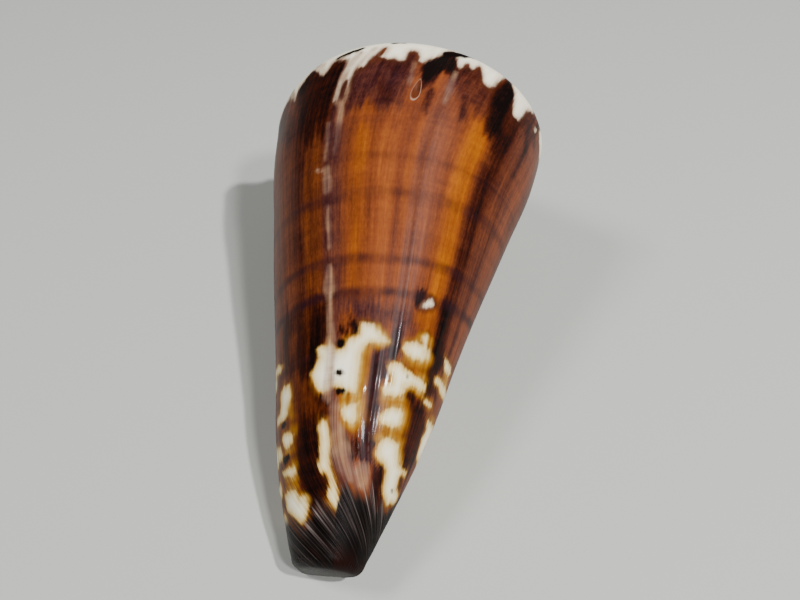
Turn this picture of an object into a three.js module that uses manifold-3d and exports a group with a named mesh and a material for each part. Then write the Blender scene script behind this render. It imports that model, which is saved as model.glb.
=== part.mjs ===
// A cone-shaped sea shell that grew as one piece: low spire, rounded shoulder, tapering body whorl,
// thin outer lip, open aperture and columella. Millimetres, +Z up, lying aperture down.
//
// A point of the shell is told by when it grew. age counts whorls back from the outer lip, so the lip
// is age 0 and the same place one turn earlier is age 1. h runs from the apex along the coiling axis
// to the narrow front end, and r runs out from that axis.

import * as THREE from 'three';
import { ParametricGeometry } from 'three/addons/geometries/ParametricGeometry.js';
import { mergeGeometries, mergeVertices } from 'three/addons/utils/BufferGeometryUtils.js';
import Module from 'manifold-3d';

// Driving dimensions in millimetres
const SHOULDER_RADIUS = 24.5;
const SHOULDER_ROUND = 1.9;
const LIP_SHOULDER_ROUND = 3.8;
const SHOULDER_STRETCH = 1.4;
const NOMINAL_LENGTH = 84;
const FRONT_END = 81.6;
const FRONT_TIP = 81.8;
const RIM_ROUND = 1.1;
const COLUMELLA_RADIUS = 1.7;
const LIP_WALL = 1.1;
const INNER_WALL = 1.7;
const ROOF = 1.7;
const RAMP_SAG = 0.35;
const SPIRE_SLOPE = THREE.MathUtils.degToRad(24);

// Growth: how much smaller each older whorl is, and how its front end draws in and shortens
const GROWTH_RATE = 0.235;
const GROWTH_RISE = 0.03;
const FRONT_DRAW_IN = 0.37;
const FRONT_SHORTENING = 0.147;
const COLUMELLA_DRAW_IN = 0.35;
const COLUMELLA_ONSET = 8;

// The lip's own fuller shape, and how far back from the lip it reaches, in whorls
const LIP_BULGE = 0.07;
const LIP_REACH = 0.255;

// Body radius as a part of the shoulder radius, at equal steps from the shoulder to the front
const BODY_TAPER = [1, 0.94, 0.84, 0.746, 0.653, 0.571, 0.499, 0.386, 0.227, 0.03];
const TAPER_STEP = 0.125;

// Growth lines lean back towards the older side on their way to the front end
const LINE_LEAN = THREE.MathUtils.degToRad(13);

// Facets
const COLUMNS_PER_WHORL = 72;
const SPIRE_WHORLS = 5;
const BASE_ROWS = 3;
const RIM_ROWS = 3;
const BODY_ROWS = 18;
const ARC_ROWS = 4;
const EXPOSED_ARC_ROWS = 2;
const RAMP_ROWS = 2;
const HOLLOW_COLUMNS = 40;
const HOLLOW_ROWS = 14;
const MERGE_DISTANCE = 1e-3;

// The spiral hollow behind the lip: ages in whorls, sizes in millimetres
const MOUTH_AHEAD = 0.05;
const HOLLOW_DEPTH = 0.8;
const WALL_THICKENING = 0.3;
const CANAL_REACH = 0.42;
const CANAL_FADE = 0.2;
const CANAL_OVERRUN = 3;
const HOLLOW_BACK_END = 62;
const PARIETAL_STEP = 0.25;
const PARIETAL_FADE = [-0.01, 0.02];
const NARROWEST = 0.5;

// Rest pose, lying on the outer lip and the body whorl, with its back up
const LIP_AZIMUTH = THREE.MathUtils.degToRad(-137.5);
const AXIS_TILT = THREE.MathUtils.degToRad(12.6);

const SHELL_FINISH = { color: 0x9a5526, roughness: 0.3, metalness: 0 };

const { clamp, lerp, smoothstep } = THREE.MathUtils;
const arcEnd = Math.PI / 2 - SPIRE_SLOPE;
const sutureAngle = arcEnd * (ARC_ROWS - EXPOSED_ARC_ROWS) / ARC_ROWS;

function growth(age) {
  return Math.exp(-(GROWTH_RATE * age + GROWTH_RISE * age * age));
}

// How much of the lip's own fuller shape is left at an age, from 1 to 0
function lipShare(age) {
  return Math.exp(-((age / LIP_REACH) ** 2));
}

// The shoulder's round is wider near the lip
function shoulderRound(age) {
  return growth(age) * lerp(SHOULDER_ROUND, LIP_SHOULDER_ROUND, lipShare(age));
}

// The height where the body starts, below a round that leaves the spire's slope without a kink
function shoulderHeight(age) {
  const round = shoulderRound(age);
  const rampRadius = SHOULDER_RADIUS * growth(age) - round * (1 - Math.cos(arcEnd));
  return rampRadius * Math.tan(SPIRE_SLOPE) + SHOULDER_STRETCH * round * Math.sin(arcEnd);
}

// Smooth curve through the equally spaced taper values
function taper(position) {
  const last = BODY_TAPER.length - 1;
  const steps = clamp(position / TAPER_STEP, 0, last);
  const index = Math.min(Math.floor(steps), last - 1);
  const at = (i) => BODY_TAPER[clamp(i, 0, last)];
  const t = steps - index;
  const slopeIn = index === 0 ? at(1) - at(0) : (at(index + 1) - at(index - 1)) / 2;
  const slopeOut = index === last - 1 ? at(last) - at(last - 1) : (at(index + 2) - at(index)) / 2;
  return at(index) * (1 + 2 * t) * (1 - t) ** 2 + slopeIn * t * (1 - t) ** 2
    + at(index + 1) * t * t * (3 - 2 * t) - slopeOut * t * t * (1 - t);
}

// Where a height lies between the shoulder, 0, and the nominal front end, 1, at an age
function bodyPosition(age, h) {
  const shoulder = shoulderHeight(age);
  return Math.max((h - shoulder) / (NOMINAL_LENGTH * (1 - FRONT_SHORTENING * age) - shoulder), 0);
}

function bodyRadius(age, h) {
  const position = bodyPosition(age, h);
  const columella = COLUMELLA_DRAW_IN * Math.min(age, 1) ** COLUMELLA_ONSET;
  const drawIn = Math.max(1 - (FRONT_DRAW_IN * age + columella) * position ** 2, 0);
  const bulge = LIP_BULGE * Math.sin(Math.PI * Math.min(position, 1)) ** 2 * lipShare(age);
  const free = SHOULDER_RADIUS * growth(age) * taper(position) * drawIn * (1 + bulge);
  return Math.hypot(free, COLUMELLA_RADIUS * Math.min(position, 1));
}

function arcPoint(age, angle) {
  const round = shoulderRound(age);
  return {
    r: SHOULDER_RADIUS * growth(age) - round * (1 - Math.cos(angle)),
    h: shoulderHeight(age) - SHOULDER_STRETCH * round * Math.sin(angle),
  };
}

// The ramp runs from the shoulder's round, part 0, in to the suture on the older whorl, part 1
function rampPoint(age, part) {
  const outer = arcPoint(age, arcEnd);
  const suture = arcPoint(age + 1, sutureAngle);
  const sag = RAMP_SAG * growth(age) * Math.sin(Math.PI * part);
  return {
    r: lerp(outer.r, suture.r, part),
    h: lerp(outer.h, suture.h, part) + sag,
  };
}

// One growth line as rows: front tip, base, rim, body, shoulder round, ramp, suture
const ROWS_TO_RIM = BASE_ROWS + RIM_ROWS;
const ROWS_TO_SHOULDER = ROWS_TO_RIM + BODY_ROWS;
const ROWS_TO_EXPOSED = ROWS_TO_SHOULDER + ARC_ROWS - EXPOSED_ARC_ROWS;
const ROWS_TO_RAMP = ROWS_TO_SHOULDER + ARC_ROWS;
const ROWS = ROWS_TO_RAMP + RAMP_ROWS;

function profilePoint(age, row) {
  const rimStart = FRONT_END - RIM_ROUND;
  if (row <= BASE_ROWS) {
    const part = row / BASE_ROWS;
    const rim = bodyRadius(age, FRONT_END) - RIM_ROUND;
    return { r: rim * part, h: lerp(FRONT_TIP, FRONT_END, part * part) };
  }
  if (row <= ROWS_TO_RIM) {
    const angle = (1 - (row - BASE_ROWS) / RIM_ROWS) * Math.PI / 2;
    const h = rimStart + RIM_ROUND * Math.sin(angle);
    return { r: bodyRadius(age, h) - RIM_ROUND * (1 - Math.cos(angle)), h };
  }
  if (row <= ROWS_TO_SHOULDER) {
    const h = lerp(rimStart, shoulderHeight(age), (row - ROWS_TO_RIM) / BODY_ROWS);
    return { r: bodyRadius(age, h), h };
  }
  if (row <= ROWS_TO_RAMP) {
    return arcPoint(age, arcEnd * (row - ROWS_TO_SHOULDER) / ARC_ROWS);
  }
  return rampPoint(age, (row - ROWS_TO_RAMP) / RAMP_ROWS);
}

function place(age, { r, h }, target) {
  const lean = LINE_LEAN * smoothstep(h, 0, FRONT_END);
  const azimuth = LIP_AZIMUTH + 2 * Math.PI * age + lean;
  return target.set(r * Math.cos(azimuth), r * Math.sin(azimuth), -h);
}

// Joins patches into one solid, without the triangles that shrink to nothing at poles
function solidFrom(patches, wasm) {
  for (const patch of patches) {
    patch.deleteAttribute('normal');
    patch.deleteAttribute('uv');
  }
  const merged = mergeVertices(mergeGeometries(patches), MERGE_DISTANCE);
  const { index } = merged;
  const kept = [];
  for (let i = 0; i < index.count; i += 3) {
    const [a, b, c] = [index.getX(i), index.getX(i + 1), index.getX(i + 2)];
    if (a !== b && b !== c && c !== a) kept.push(a, b, c);
  }
  return new wasm.Manifold(new wasm.Mesh({
    numProp: 3,
    vertProperties: new Float32Array(merged.attributes.position.array),
    triVerts: new Uint32Array(kept),
  }));
}

function outerForm(wasm) {
  const body = new ParametricGeometry((u, v, target) => {
    place(u, profilePoint(u, v * ROWS), target);
  }, COLUMNS_PER_WHORL, ROWS);

  const spireRows = ROWS - ROWS_TO_EXPOSED;
  const spire = new ParametricGeometry((u, v, target) => {
    const age = 1 + u * (SPIRE_WHORLS - 1);
    place(age, profilePoint(age, ROWS_TO_EXPOSED + v * spireRows), target);
  }, COLUMNS_PER_WHORL * (SPIRE_WHORLS - 1), spireRows);

  // The last whorl's exposed edge closes on the apex
  const apex = new ParametricGeometry((u, v, target) => {
    const age = SPIRE_WHORLS + u;
    const edge = profilePoint(age, ROWS_TO_EXPOSED);
    place(age, { r: edge.r * (1 - v), h: edge.h * (1 - v) }, target);
  }, COLUMNS_PER_WHORL, 1);

  // A fan from the apex closes the open end of the spiral ramp
  const rampEnd = new ParametricGeometry((u, v, target) => {
    const edge = profilePoint(SPIRE_WHORLS, ROWS_TO_EXPOSED + v * spireRows);
    place(SPIRE_WHORLS, u === 0 ? edge : { r: 0, h: 0 }, target);
  }, 1, spireRows);

  // The lip's face spans from the youngest profile to the one a whorl older
  const lipFace = new ParametricGeometry((u, v, target) => {
    const row = v * ROWS;
    if (u === 0) place(1, profilePoint(1, Math.min(row, ROWS_TO_EXPOSED)), target);
    else place(0, profilePoint(0, row), target);
  }, 1, ROWS);

  return solidFrom([body, spire, apex, rampEnd, lipFace], wasm);
}

// The spiral hollow is a box of growth coordinates, bent to the shell. x runs from its deep end to the
// lip, y across the gap from the older whorl to the outer wall, and z from the front end to the roof.
function hollow(wasm) {
  const box = new THREE.BoxGeometry(1, 1, 1, HOLLOW_COLUMNS, 1, HOLLOW_ROWS);
  const { position } = box.attributes;
  const point = new THREE.Vector3();
  for (let i = 0; i < position.count; i += 1) {
    point.fromBufferAttribute(position, i).addScalar(0.5);
    const age = lerp(HOLLOW_DEPTH, -MOUTH_AHEAD, point.x);
    const receded = smoothstep(age, CANAL_REACH, CANAL_REACH + CANAL_FADE);
    const bottom = lerp(FRONT_END + CANAL_OVERRUN, HOLLOW_BACK_END, receded);
    const wall = lerp(LIP_WALL, INNER_WALL, smoothstep(age, 0, WALL_THICKENING));
    const step = lerp(PARIETAL_STEP, -PARIETAL_STEP, smoothstep(age, ...PARIETAL_FADE));
    const isOuter = point.y > 0.5;
    const roof = arcPoint(age, isOuter ? arcEnd / 2 : arcEnd).h + ROOF;
    const h = lerp(bottom, roof, point.z);
    const inner = bodyRadius(age + 1, h) + step;
    const outer = Math.max(bodyRadius(age, h) - wall, inner + NARROWEST);
    place(age, { r: isOuter ? outer : inner, h }, point);
    position.setXYZ(i, point.x, point.y, point.z);
  }
  return solidFrom([box], wasm);
}

function toGeometry(solid) {
  const { vertProperties, triVerts } = solid.getMesh();
  const geometry = new THREE.BufferGeometry();
  geometry.setAttribute('position', new THREE.BufferAttribute(vertProperties, 3));
  geometry.setIndex(new THREE.BufferAttribute(triVerts, 1));
  geometry.computeVertexNormals();
  return geometry;
}

// Lays the shell down: spire towards +Y and raised by the tilt, its back up, resting on z = 0
function layDown(shell) {
  const back = new THREE.Vector3(0, -Math.sin(AXIS_TILT), Math.cos(AXIS_TILT));
  const side = new THREE.Vector3(1, 0, 0);
  const spireEnd = new THREE.Vector3(0, Math.cos(AXIS_TILT), Math.sin(AXIS_TILT));
  shell.setRotationFromMatrix(new THREE.Matrix4().makeBasis(back, side, spireEnd));
  const box = new THREE.Box3().setFromObject(shell, true);
  const centre = box.getCenter(new THREE.Vector3());
  shell.position.set(-centre.x, -centre.y, -box.min.z);
}

const wasm = await Module();
wasm.setup();

const material = new THREE.MeshStandardMaterial(SHELL_FINISH);
const shell = new THREE.Mesh(toGeometry(outerForm(wasm).subtract(hollow(wasm))), material);
shell.name = 'shell';
layDown(shell);

const coneShell = new THREE.Group();
coneShell.add(shell);

export default coneShell;
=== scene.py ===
"""A cone shell lying on a pale floor with its aperture down, seen from its front end.

The shell grew as one wall, so it is one mesh. A point of it is told by growth coordinates: its age in
whorls back from the outer lip, and its height in millimetres from the apex along the coiling axis to
the narrow front end. The same coordinates carry its relief and its markings.
"""

import logging
import math
from dataclasses import dataclass, field
from enum import Enum

import bmesh
import bpy
import numpy as np
from mathutils import Matrix, Vector


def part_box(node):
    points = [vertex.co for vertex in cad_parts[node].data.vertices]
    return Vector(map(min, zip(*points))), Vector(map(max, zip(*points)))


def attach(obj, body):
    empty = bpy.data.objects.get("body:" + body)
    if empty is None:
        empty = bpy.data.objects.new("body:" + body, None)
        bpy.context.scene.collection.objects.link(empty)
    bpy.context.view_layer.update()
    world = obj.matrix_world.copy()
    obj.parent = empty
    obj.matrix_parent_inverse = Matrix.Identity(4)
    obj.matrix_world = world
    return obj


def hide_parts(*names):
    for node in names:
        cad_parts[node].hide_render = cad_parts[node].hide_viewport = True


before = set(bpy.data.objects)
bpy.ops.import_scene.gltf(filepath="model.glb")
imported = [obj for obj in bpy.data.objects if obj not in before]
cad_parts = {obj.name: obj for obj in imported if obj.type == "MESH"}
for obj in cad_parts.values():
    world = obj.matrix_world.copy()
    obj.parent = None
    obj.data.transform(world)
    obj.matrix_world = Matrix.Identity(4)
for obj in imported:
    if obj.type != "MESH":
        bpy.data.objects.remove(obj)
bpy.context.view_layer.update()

LOG = logging.getLogger("cone_shell")
MM = 0.001
NODE = "shell"
GROWTH_MAP = "growth"
# The growth map holds ages and heights as parts of these
AGE_SCALE = 10.0
HEIGHT_SCALE = 100.0
# The millimetres from a marking's edge past which its depth isn't worked out
FAR = 3.0
# The least millimetres round a whorl that a marking's reach allows for
LEAST_GIRTH = 20.0
# Brings noise, less a half, to about -1 to 1
NOISE_GAIN = 3.0
# Keeps a streak of one point from a division by 0
TINY = 1e-9

Array = np.ndarray
Colour = tuple[float, float, float, float]
Range = tuple[float, float]
Stops = tuple[tuple[float, str], ...]
Socket = bpy.types.NodeSocket


def share(value: Array, start: float, span: float) -> Array:
    """Returns 0 below start, 1 a span above it and an even rise between, for each value."""
    return np.clip((value - start) / span, 0.0, 1.0)


def smoothstep(value: Array, low: float, high: float) -> Array:
    """Returns 0 below low, 1 above high and a smooth rise between, for each value."""
    part = share(value, low, high - low)
    return part * part * (3.0 - 2.0 * part)


def lerp(start: Array, end: Array, part: Array) -> Array:
    """Returns the point a part of the way from start to end."""
    return start + (end - start) * part


def srgb(code: str) -> Colour:
    """Turns a six-digit screen colour into the linear colour that shaders use.

    Args:
        code: red, green and blue as two hexadecimal digits each.

    Returns:
        The linear colour with an alpha of 1.
    """
    parts = [int(code[i : i + 2], 16) / 255.0 for i in (0, 2, 4)]
    linear = [p / 12.92 if p <= 0.04045 else ((p + 0.055) / 1.055) ** 2.4 for p in parts]
    return (linear[0], linear[1], linear[2], 1.0)


def mesh_of(name: str, shape: bmesh.types.BMesh) -> bpy.types.Mesh:
    """Makes a mesh of a shape.

    Args:
        name: the mesh's name.
        shape: the shape, which is freed.

    Returns:
        The new mesh.
    """
    mesh = bpy.data.meshes.new(name)
    shape.to_mesh(mesh)
    shape.free()
    return mesh


def add_object(name: str, data: bpy.types.ID) -> bpy.types.Object:
    """Adds an object to the scene.

    Args:
        name: the object's name.
        data: its mesh, light or camera.

    Returns:
        The new object, at the origin.
    """
    made = bpy.data.objects.new(name, data)
    bpy.context.scene.collection.objects.link(made)
    return made


@dataclass(frozen=True)
class GrowthLaw:
    """The shape that growth gives the shell, in millimetres, whorls and radians.

    The values are the driving dimensions of the part, and every method takes whole arrays.
    """

    shoulder_radius: float = 24.5
    shoulder_round: float = 1.9
    lip_shoulder_round: float = 3.8
    shoulder_stretch: float = 1.4
    nominal_length: float = 84.0
    front_end: float = 81.6
    front_tip: float = 81.8
    rim_round: float = 1.1
    columella_radius: float = 1.7
    ramp_sag: float = 0.35
    spire_slope: float = math.radians(24.0)
    rate: float = 0.235
    rise: float = 0.03
    front_draw_in: float = 0.37
    front_shortening: float = 0.147
    columella_draw_in: float = 0.35
    columella_onset: float = 8.0
    lip_bulge: float = 0.07
    lip_reach: float = 0.255
    body_taper: tuple[float, ...] = (1, 0.94, 0.84, 0.746, 0.653, 0.571, 0.499, 0.386, 0.227, 0.03)
    taper_step: float = 0.125
    line_lean: float = math.radians(13.0)
    lip_azimuth: float = math.radians(-137.5)

    @property
    def arc_end(self) -> float:
        """The angle at which the shoulder's round meets the ramp."""
        return math.pi / 2.0 - self.spire_slope

    @property
    def suture_angle(self) -> float:
        """The angle on an older whorl's round at which the next whorl's ramp ends."""
        return self.arc_end / 2.0

    def growth(self, age: Array) -> Array:
        """Returns the size of the shell at an age, as a part of its final size."""
        return np.exp(-(self.rate * age + self.rise * age * age))

    def lip_share(self, age: Array) -> Array:
        """Returns how much of the lip's own fuller shape is left at an age, from 1 to 0."""
        return np.exp(-((age / self.lip_reach) ** 2))

    def round_at(self, age: Array) -> Array:
        """Returns the radius of the shoulder's round, which is wider near the lip."""
        return self.growth(age) * lerp(self.shoulder_round, self.lip_shoulder_round, self.lip_share(age))

    def shoulder(self, age: Array) -> Array:
        """Returns the height where the body starts, below the round.

        Args:
            age: whorls back from the lip.

        Returns:
            Millimetres from the apex.
        """
        around = self.round_at(age)
        ramp_radius = self.shoulder_radius * self.growth(age) - around * (1.0 - math.cos(self.arc_end))
        rounded = self.shoulder_stretch * around * math.sin(self.arc_end)
        return ramp_radius * math.tan(self.spire_slope) + rounded

    def taper(self, position: Array) -> Array:
        """Returns the body's radius as a part of the shoulder's, on a smooth curve through the taper.

        Args:
            position: from 0 at the shoulder to 1 at the nominal front end.

        Returns:
            The parts, from 0 to 1.
        """
        values = np.array(self.body_taper, dtype=float)
        last = len(values) - 1
        slopes = np.gradient(values)
        steps = np.clip(position / self.taper_step, 0.0, last)
        index = np.minimum(steps.astype(int), last - 1)
        t = steps - index
        rest = 1.0 - t
        near = values[index] * (1.0 + 2.0 * t) * rest**2 + slopes[index] * t * rest**2
        far = values[index + 1] * t * t * (3.0 - 2.0 * t) - slopes[index + 1] * t * t * rest
        return near + far

    def position(self, age: Array, height: Array) -> Array:
        """Returns where a height lies between the shoulder, 0, and the nominal front end, 1.

        Args:
            age: whorls back from the lip.
            height: millimetres from the apex.

        Returns:
            The positions, and 0 above the shoulder.
        """
        shoulder = self.shoulder(age)
        length = self.nominal_length * (1.0 - self.front_shortening * age) - shoulder
        return np.maximum((height - shoulder) / length, 0.0)

    def radius(self, age: Array, height: Array) -> Array:
        """Returns the body's outer radius at an age and a height.

        Args:
            age: whorls back from the lip.
            height: millimetres from the apex.

        Returns:
            Millimetres from the axis.
        """
        position = self.position(age, height)
        columella = self.columella_draw_in * np.minimum(age, 1.0) ** self.columella_onset
        draw_in = np.maximum(1.0 - (self.front_draw_in * age + columella) * position**2, 0.0)
        middle = np.sin(math.pi * np.minimum(position, 1.0)) ** 2
        bulge = 1.0 + self.lip_bulge * middle * self.lip_share(age)
        free = self.shoulder_radius * self.growth(age) * self.taper(position) * draw_in * bulge
        return np.hypot(free, self.columella_radius * np.minimum(position, 1.0))

    def arc(self, age: Array, angle: Array) -> tuple[Array, Array]:
        """Returns the radius and the height of a point on the shoulder's round.

        Args:
            age: whorls back from the lip.
            angle: radians round the arc, from the body.

        Returns:
            Arrays of radius and of height.
        """
        around = self.round_at(age)
        radius = self.shoulder_radius * self.growth(age) - around * (1.0 - np.cos(angle))
        return radius, self.shoulder(age) - self.shoulder_stretch * around * np.sin(angle)

    def ramp(self, age: Array, part: Array) -> tuple[Array, Array]:
        """Returns a point of the ramp, from the round, part 0, to the suture, part 1.

        Args:
            age: whorls back from the lip.
            part: the part of the way in, from 0 to 1.

        Returns:
            Arrays of radius and of height.
        """
        outer = self.arc(age, self.arc_end)
        suture = self.arc(age + 1.0, self.suture_angle)
        sag = self.ramp_sag * self.growth(age) * np.sin(math.pi * part)
        return lerp(outer[0], suture[0], part), lerp(outer[1], suture[1], part) + sag

    def place(self, age: Array, radius: Array, height: Array) -> Array:
        """Returns the points as rows of x, y and z, with the apex at the origin and z to the spire.

        Args:
            age: whorls back from the lip.
            radius: millimetres from the axis.
            height: millimetres from the apex.

        Returns:
            The points, in millimetres.
        """
        lean = self.line_lean * smoothstep(height, 0.0, self.front_end)
        azimuth = self.lip_azimuth + 2.0 * math.pi * age + lean
        return np.stack([radius * np.cos(azimuth), radius * np.sin(azimuth), -height], axis=-1)


@dataclass(frozen=True)
class GrowthLines:
    """How a growth line runs over the body: it leans at the shoulder and sweeps round at the base."""

    shoulder_lean: float = 0.03
    shoulder_from: float = 35.0
    shoulder_span: float = 21.0
    base_sweep: float = 3.7e-5
    base_from: float = 62.0
    band_slope: float = 0.042
    band_middle: float = 2.4

    def line(self, age: Array, height: Array) -> Array:
        """Returns the age of the growth line through a point, read at mid body.

        Args:
            age: whorls back from the lip.
            height: millimetres from the apex.

        Returns:
            The growth lines, in whorls.
        """
        above = np.maximum(self.shoulder_from - height, 0.0) / self.shoulder_span
        shoulder = self.shoulder_lean * above**2
        sweep = self.base_sweep * np.maximum(height - self.base_from, 0.0) ** 3
        return age - shoulder - sweep

    def band(self, age: Array, height: Array) -> Array:
        """Returns the height of the spiral band through a point, read at mid body."""
        return height * np.exp(self.band_slope * (2.0 * math.pi * age - self.band_middle))


@dataclass(frozen=True)
class Scar:
    """A growth scar: a low ridge along one growth line, from one height to another."""

    line: float
    top: float
    bottom: float
    rise: float
    half_width: float = 0.35


@dataclass(frozen=True)
class Relief:
    """Low relief of the outside, in millimetres outwards: growth lines, scars, base ridges and a pit.

    Waves and ridges are a count to the whorl and a height. The ends of a scar are the millimetres over
    which it fades, and the pit's place is an age and a height.
    """

    seed: int = 7
    waves: tuple[tuple[float, float], ...] = ((9.0, 0.04), (23.0, 0.01), (61.0, 0.004), (140.0, 0.0015))
    wave_parts: int = 5
    wave_spread: Range = (0.6, 1.5)
    streak_paces: tuple[float, ...] = (31.0, 47.0, 71.0, 89.0, 113.0, 137.0)
    base_ridges: tuple[float, float] = (64.0, 0.05)
    base_from: float = 67.0
    base_full: float = 75.0
    base_calm: float = 0.5
    ridge_wander: tuple[float, float] = (11.0, 0.8)
    ridge_sharpness: float = 0.7
    shoulder_fade: float = 2.5
    scar_ends: tuple[float, float] = (3.0, 4.0)
    scar_lean: float = 0.35
    scars: tuple[Scar, ...] = (
        Scar(0.4045, 16.0, 68.0, 0.09, 0.28),
        Scar(0.4085, 18.0, 44.0, 0.03, 0.25),
        Scar(0.285, 14.0, 66.0, 0.07, 0.3),
        Scar(0.353, 58.0, 75.0, 0.12, 0.3),
        Scar(0.376, 52.0, 72.0, 0.12, 0.35),
        Scar(0.487, 20.0, 60.0, 0.03, 0.5),
        Scar(0.71, 15.0, 74.0, 0.12),
        Scar(0.93, 15.0, 70.0, 0.09),
        Scar(0.06, 16.0, 75.0, 0.1),
    )
    pit_at: tuple[float, float] = (0.3885, 18.6)
    pit_size: tuple[float, float] = (0.75, 1.3)
    pit_depth: float = 0.34
    pit_wall: tuple[float, float] = (0.45, 1.1)
    mid_circumference: float = 105.0

    def rows_of_waves(self, line: Array) -> Array:
        """Returns the growth lines' height: a few sets of waves with seeded lengths and starts.

        Args:
            line: the growth line, in whorls.

        Returns:
            Millimetres outwards.
        """
        random = np.random.default_rng(self.seed)
        total = np.zeros_like(line)
        for per_whorl, height in self.waves:
            for _ in range(self.wave_parts):
                pace = per_whorl * random.uniform(*self.wave_spread)
                start = random.uniform(0.0, 2.0 * math.pi)
                total += height / self.wave_parts**0.5 * np.sin(2.0 * math.pi * pace * line + start)
        return total

    def streaks(self, line: Array) -> Array:
        """Returns seeded unevenness from one growth line to the next, from about -1 to 1.

        Args:
            line: the growth line, in whorls.

        Returns:
            The unevenness.
        """
        random = np.random.default_rng(self.seed + 1)
        total = np.zeros_like(line)
        for per_whorl in self.streak_paces:
            total += np.sin(2.0 * math.pi * (per_whorl * line + random.uniform()))
        return total / len(self.streak_paces) ** 0.5

    def outward(self, lines: GrowthLines, age: Array, height: Array, law: GrowthLaw) -> Array:
        """Returns how far the outside stands out of the smooth form.

        Args:
            lines: how the growth lines run.
            age: whorls back from the lip.
            height: millimetres from the apex.
            law: the smooth form.

        Returns:
            Millimetres outwards, and 0 at the shoulder's round.
        """
        line = lines.line(age, height)
        total = self.rows_of_waves(line)
        per_whorl, ridge = self.base_ridges
        at_base = smoothstep(height, self.base_from, self.base_full)
        wander = self.ridge_wander[1] * np.sin(2.0 * math.pi * self.ridge_wander[0] * line)
        ridges = np.abs(np.sin(math.pi * per_whorl * line + wander)) ** self.ridge_sharpness
        total = total * (1.0 - self.base_calm * at_base) + ridge * at_base * (2.0 * ridges - 1.0)
        start, end = self.scar_ends
        for scar in self.scars:
            off = (line - scar.line) * self.mid_circumference / scar.half_width
            within = smoothstep(height, scar.top, scar.top + start)
            within *= 1.0 - smoothstep(height, scar.bottom - end, scar.bottom)
            total += scar.rise * within * np.exp(-off * off) * (1.0 + self.scar_lean * np.tanh(off))
        wide = (age - self.pit_at[0]) * 2.0 * math.pi * law.shoulder_radius / self.pit_size[0]
        tall = (height - self.pit_at[1]) / self.pit_size[1]
        total -= self.pit_depth * (1.0 - smoothstep(np.hypot(wide, tall), *self.pit_wall))
        shoulder = law.shoulder(age)
        return total * smoothstep(height - shoulder, 0.0, self.shoulder_fade)


@dataclass(frozen=True)
class LipEdge:
    """The rounding that thins the wall to its growing edge, in whorls and millimetres."""

    reach: float = 0.0055
    thinning: float = 0.46
    crowding: float = 1.5

    def spaced(self, edge_part: Array, depth: float, far_part: Array) -> Array:
        """Returns ages from 0 to a depth, with the first columns crowded at the edge."""
        return self.reach * edge_part**self.crowding + (depth - self.reach) * far_part

    def inward(self, age: Array) -> Array:
        """Returns how far each side of the wall draws in, a quarter ellipse that is full at the edge."""
        part = np.clip(1.0 - age / self.reach, 0.0, 1.0)
        return self.thinning * (1.0 - np.sqrt(np.maximum(1.0 - part * part, 0.0)))


@dataclass(frozen=True)
class Hollow:
    """The open spiral space behind the lip. Ages are in whorls and sizes in millimetres."""

    ahead: float = 0.05
    depth: float = 0.8
    lip_wall: float = 1.1
    inner_wall: float = 1.7
    thickening: float = 0.3
    roof: float = 1.7
    canal_reach: float = 0.42
    canal_fade: float = 0.2
    overrun: float = 3.0
    back_end: float = 62.0
    glaze_step: float = 0.16
    glaze_fade: tuple[float, float] = (-0.008, 0.012)
    narrowest: float = 0.5
    near_part: float = 0.12
    columns: int = 120
    side_rows: int = 40
    roof_rows: int = 6


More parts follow.
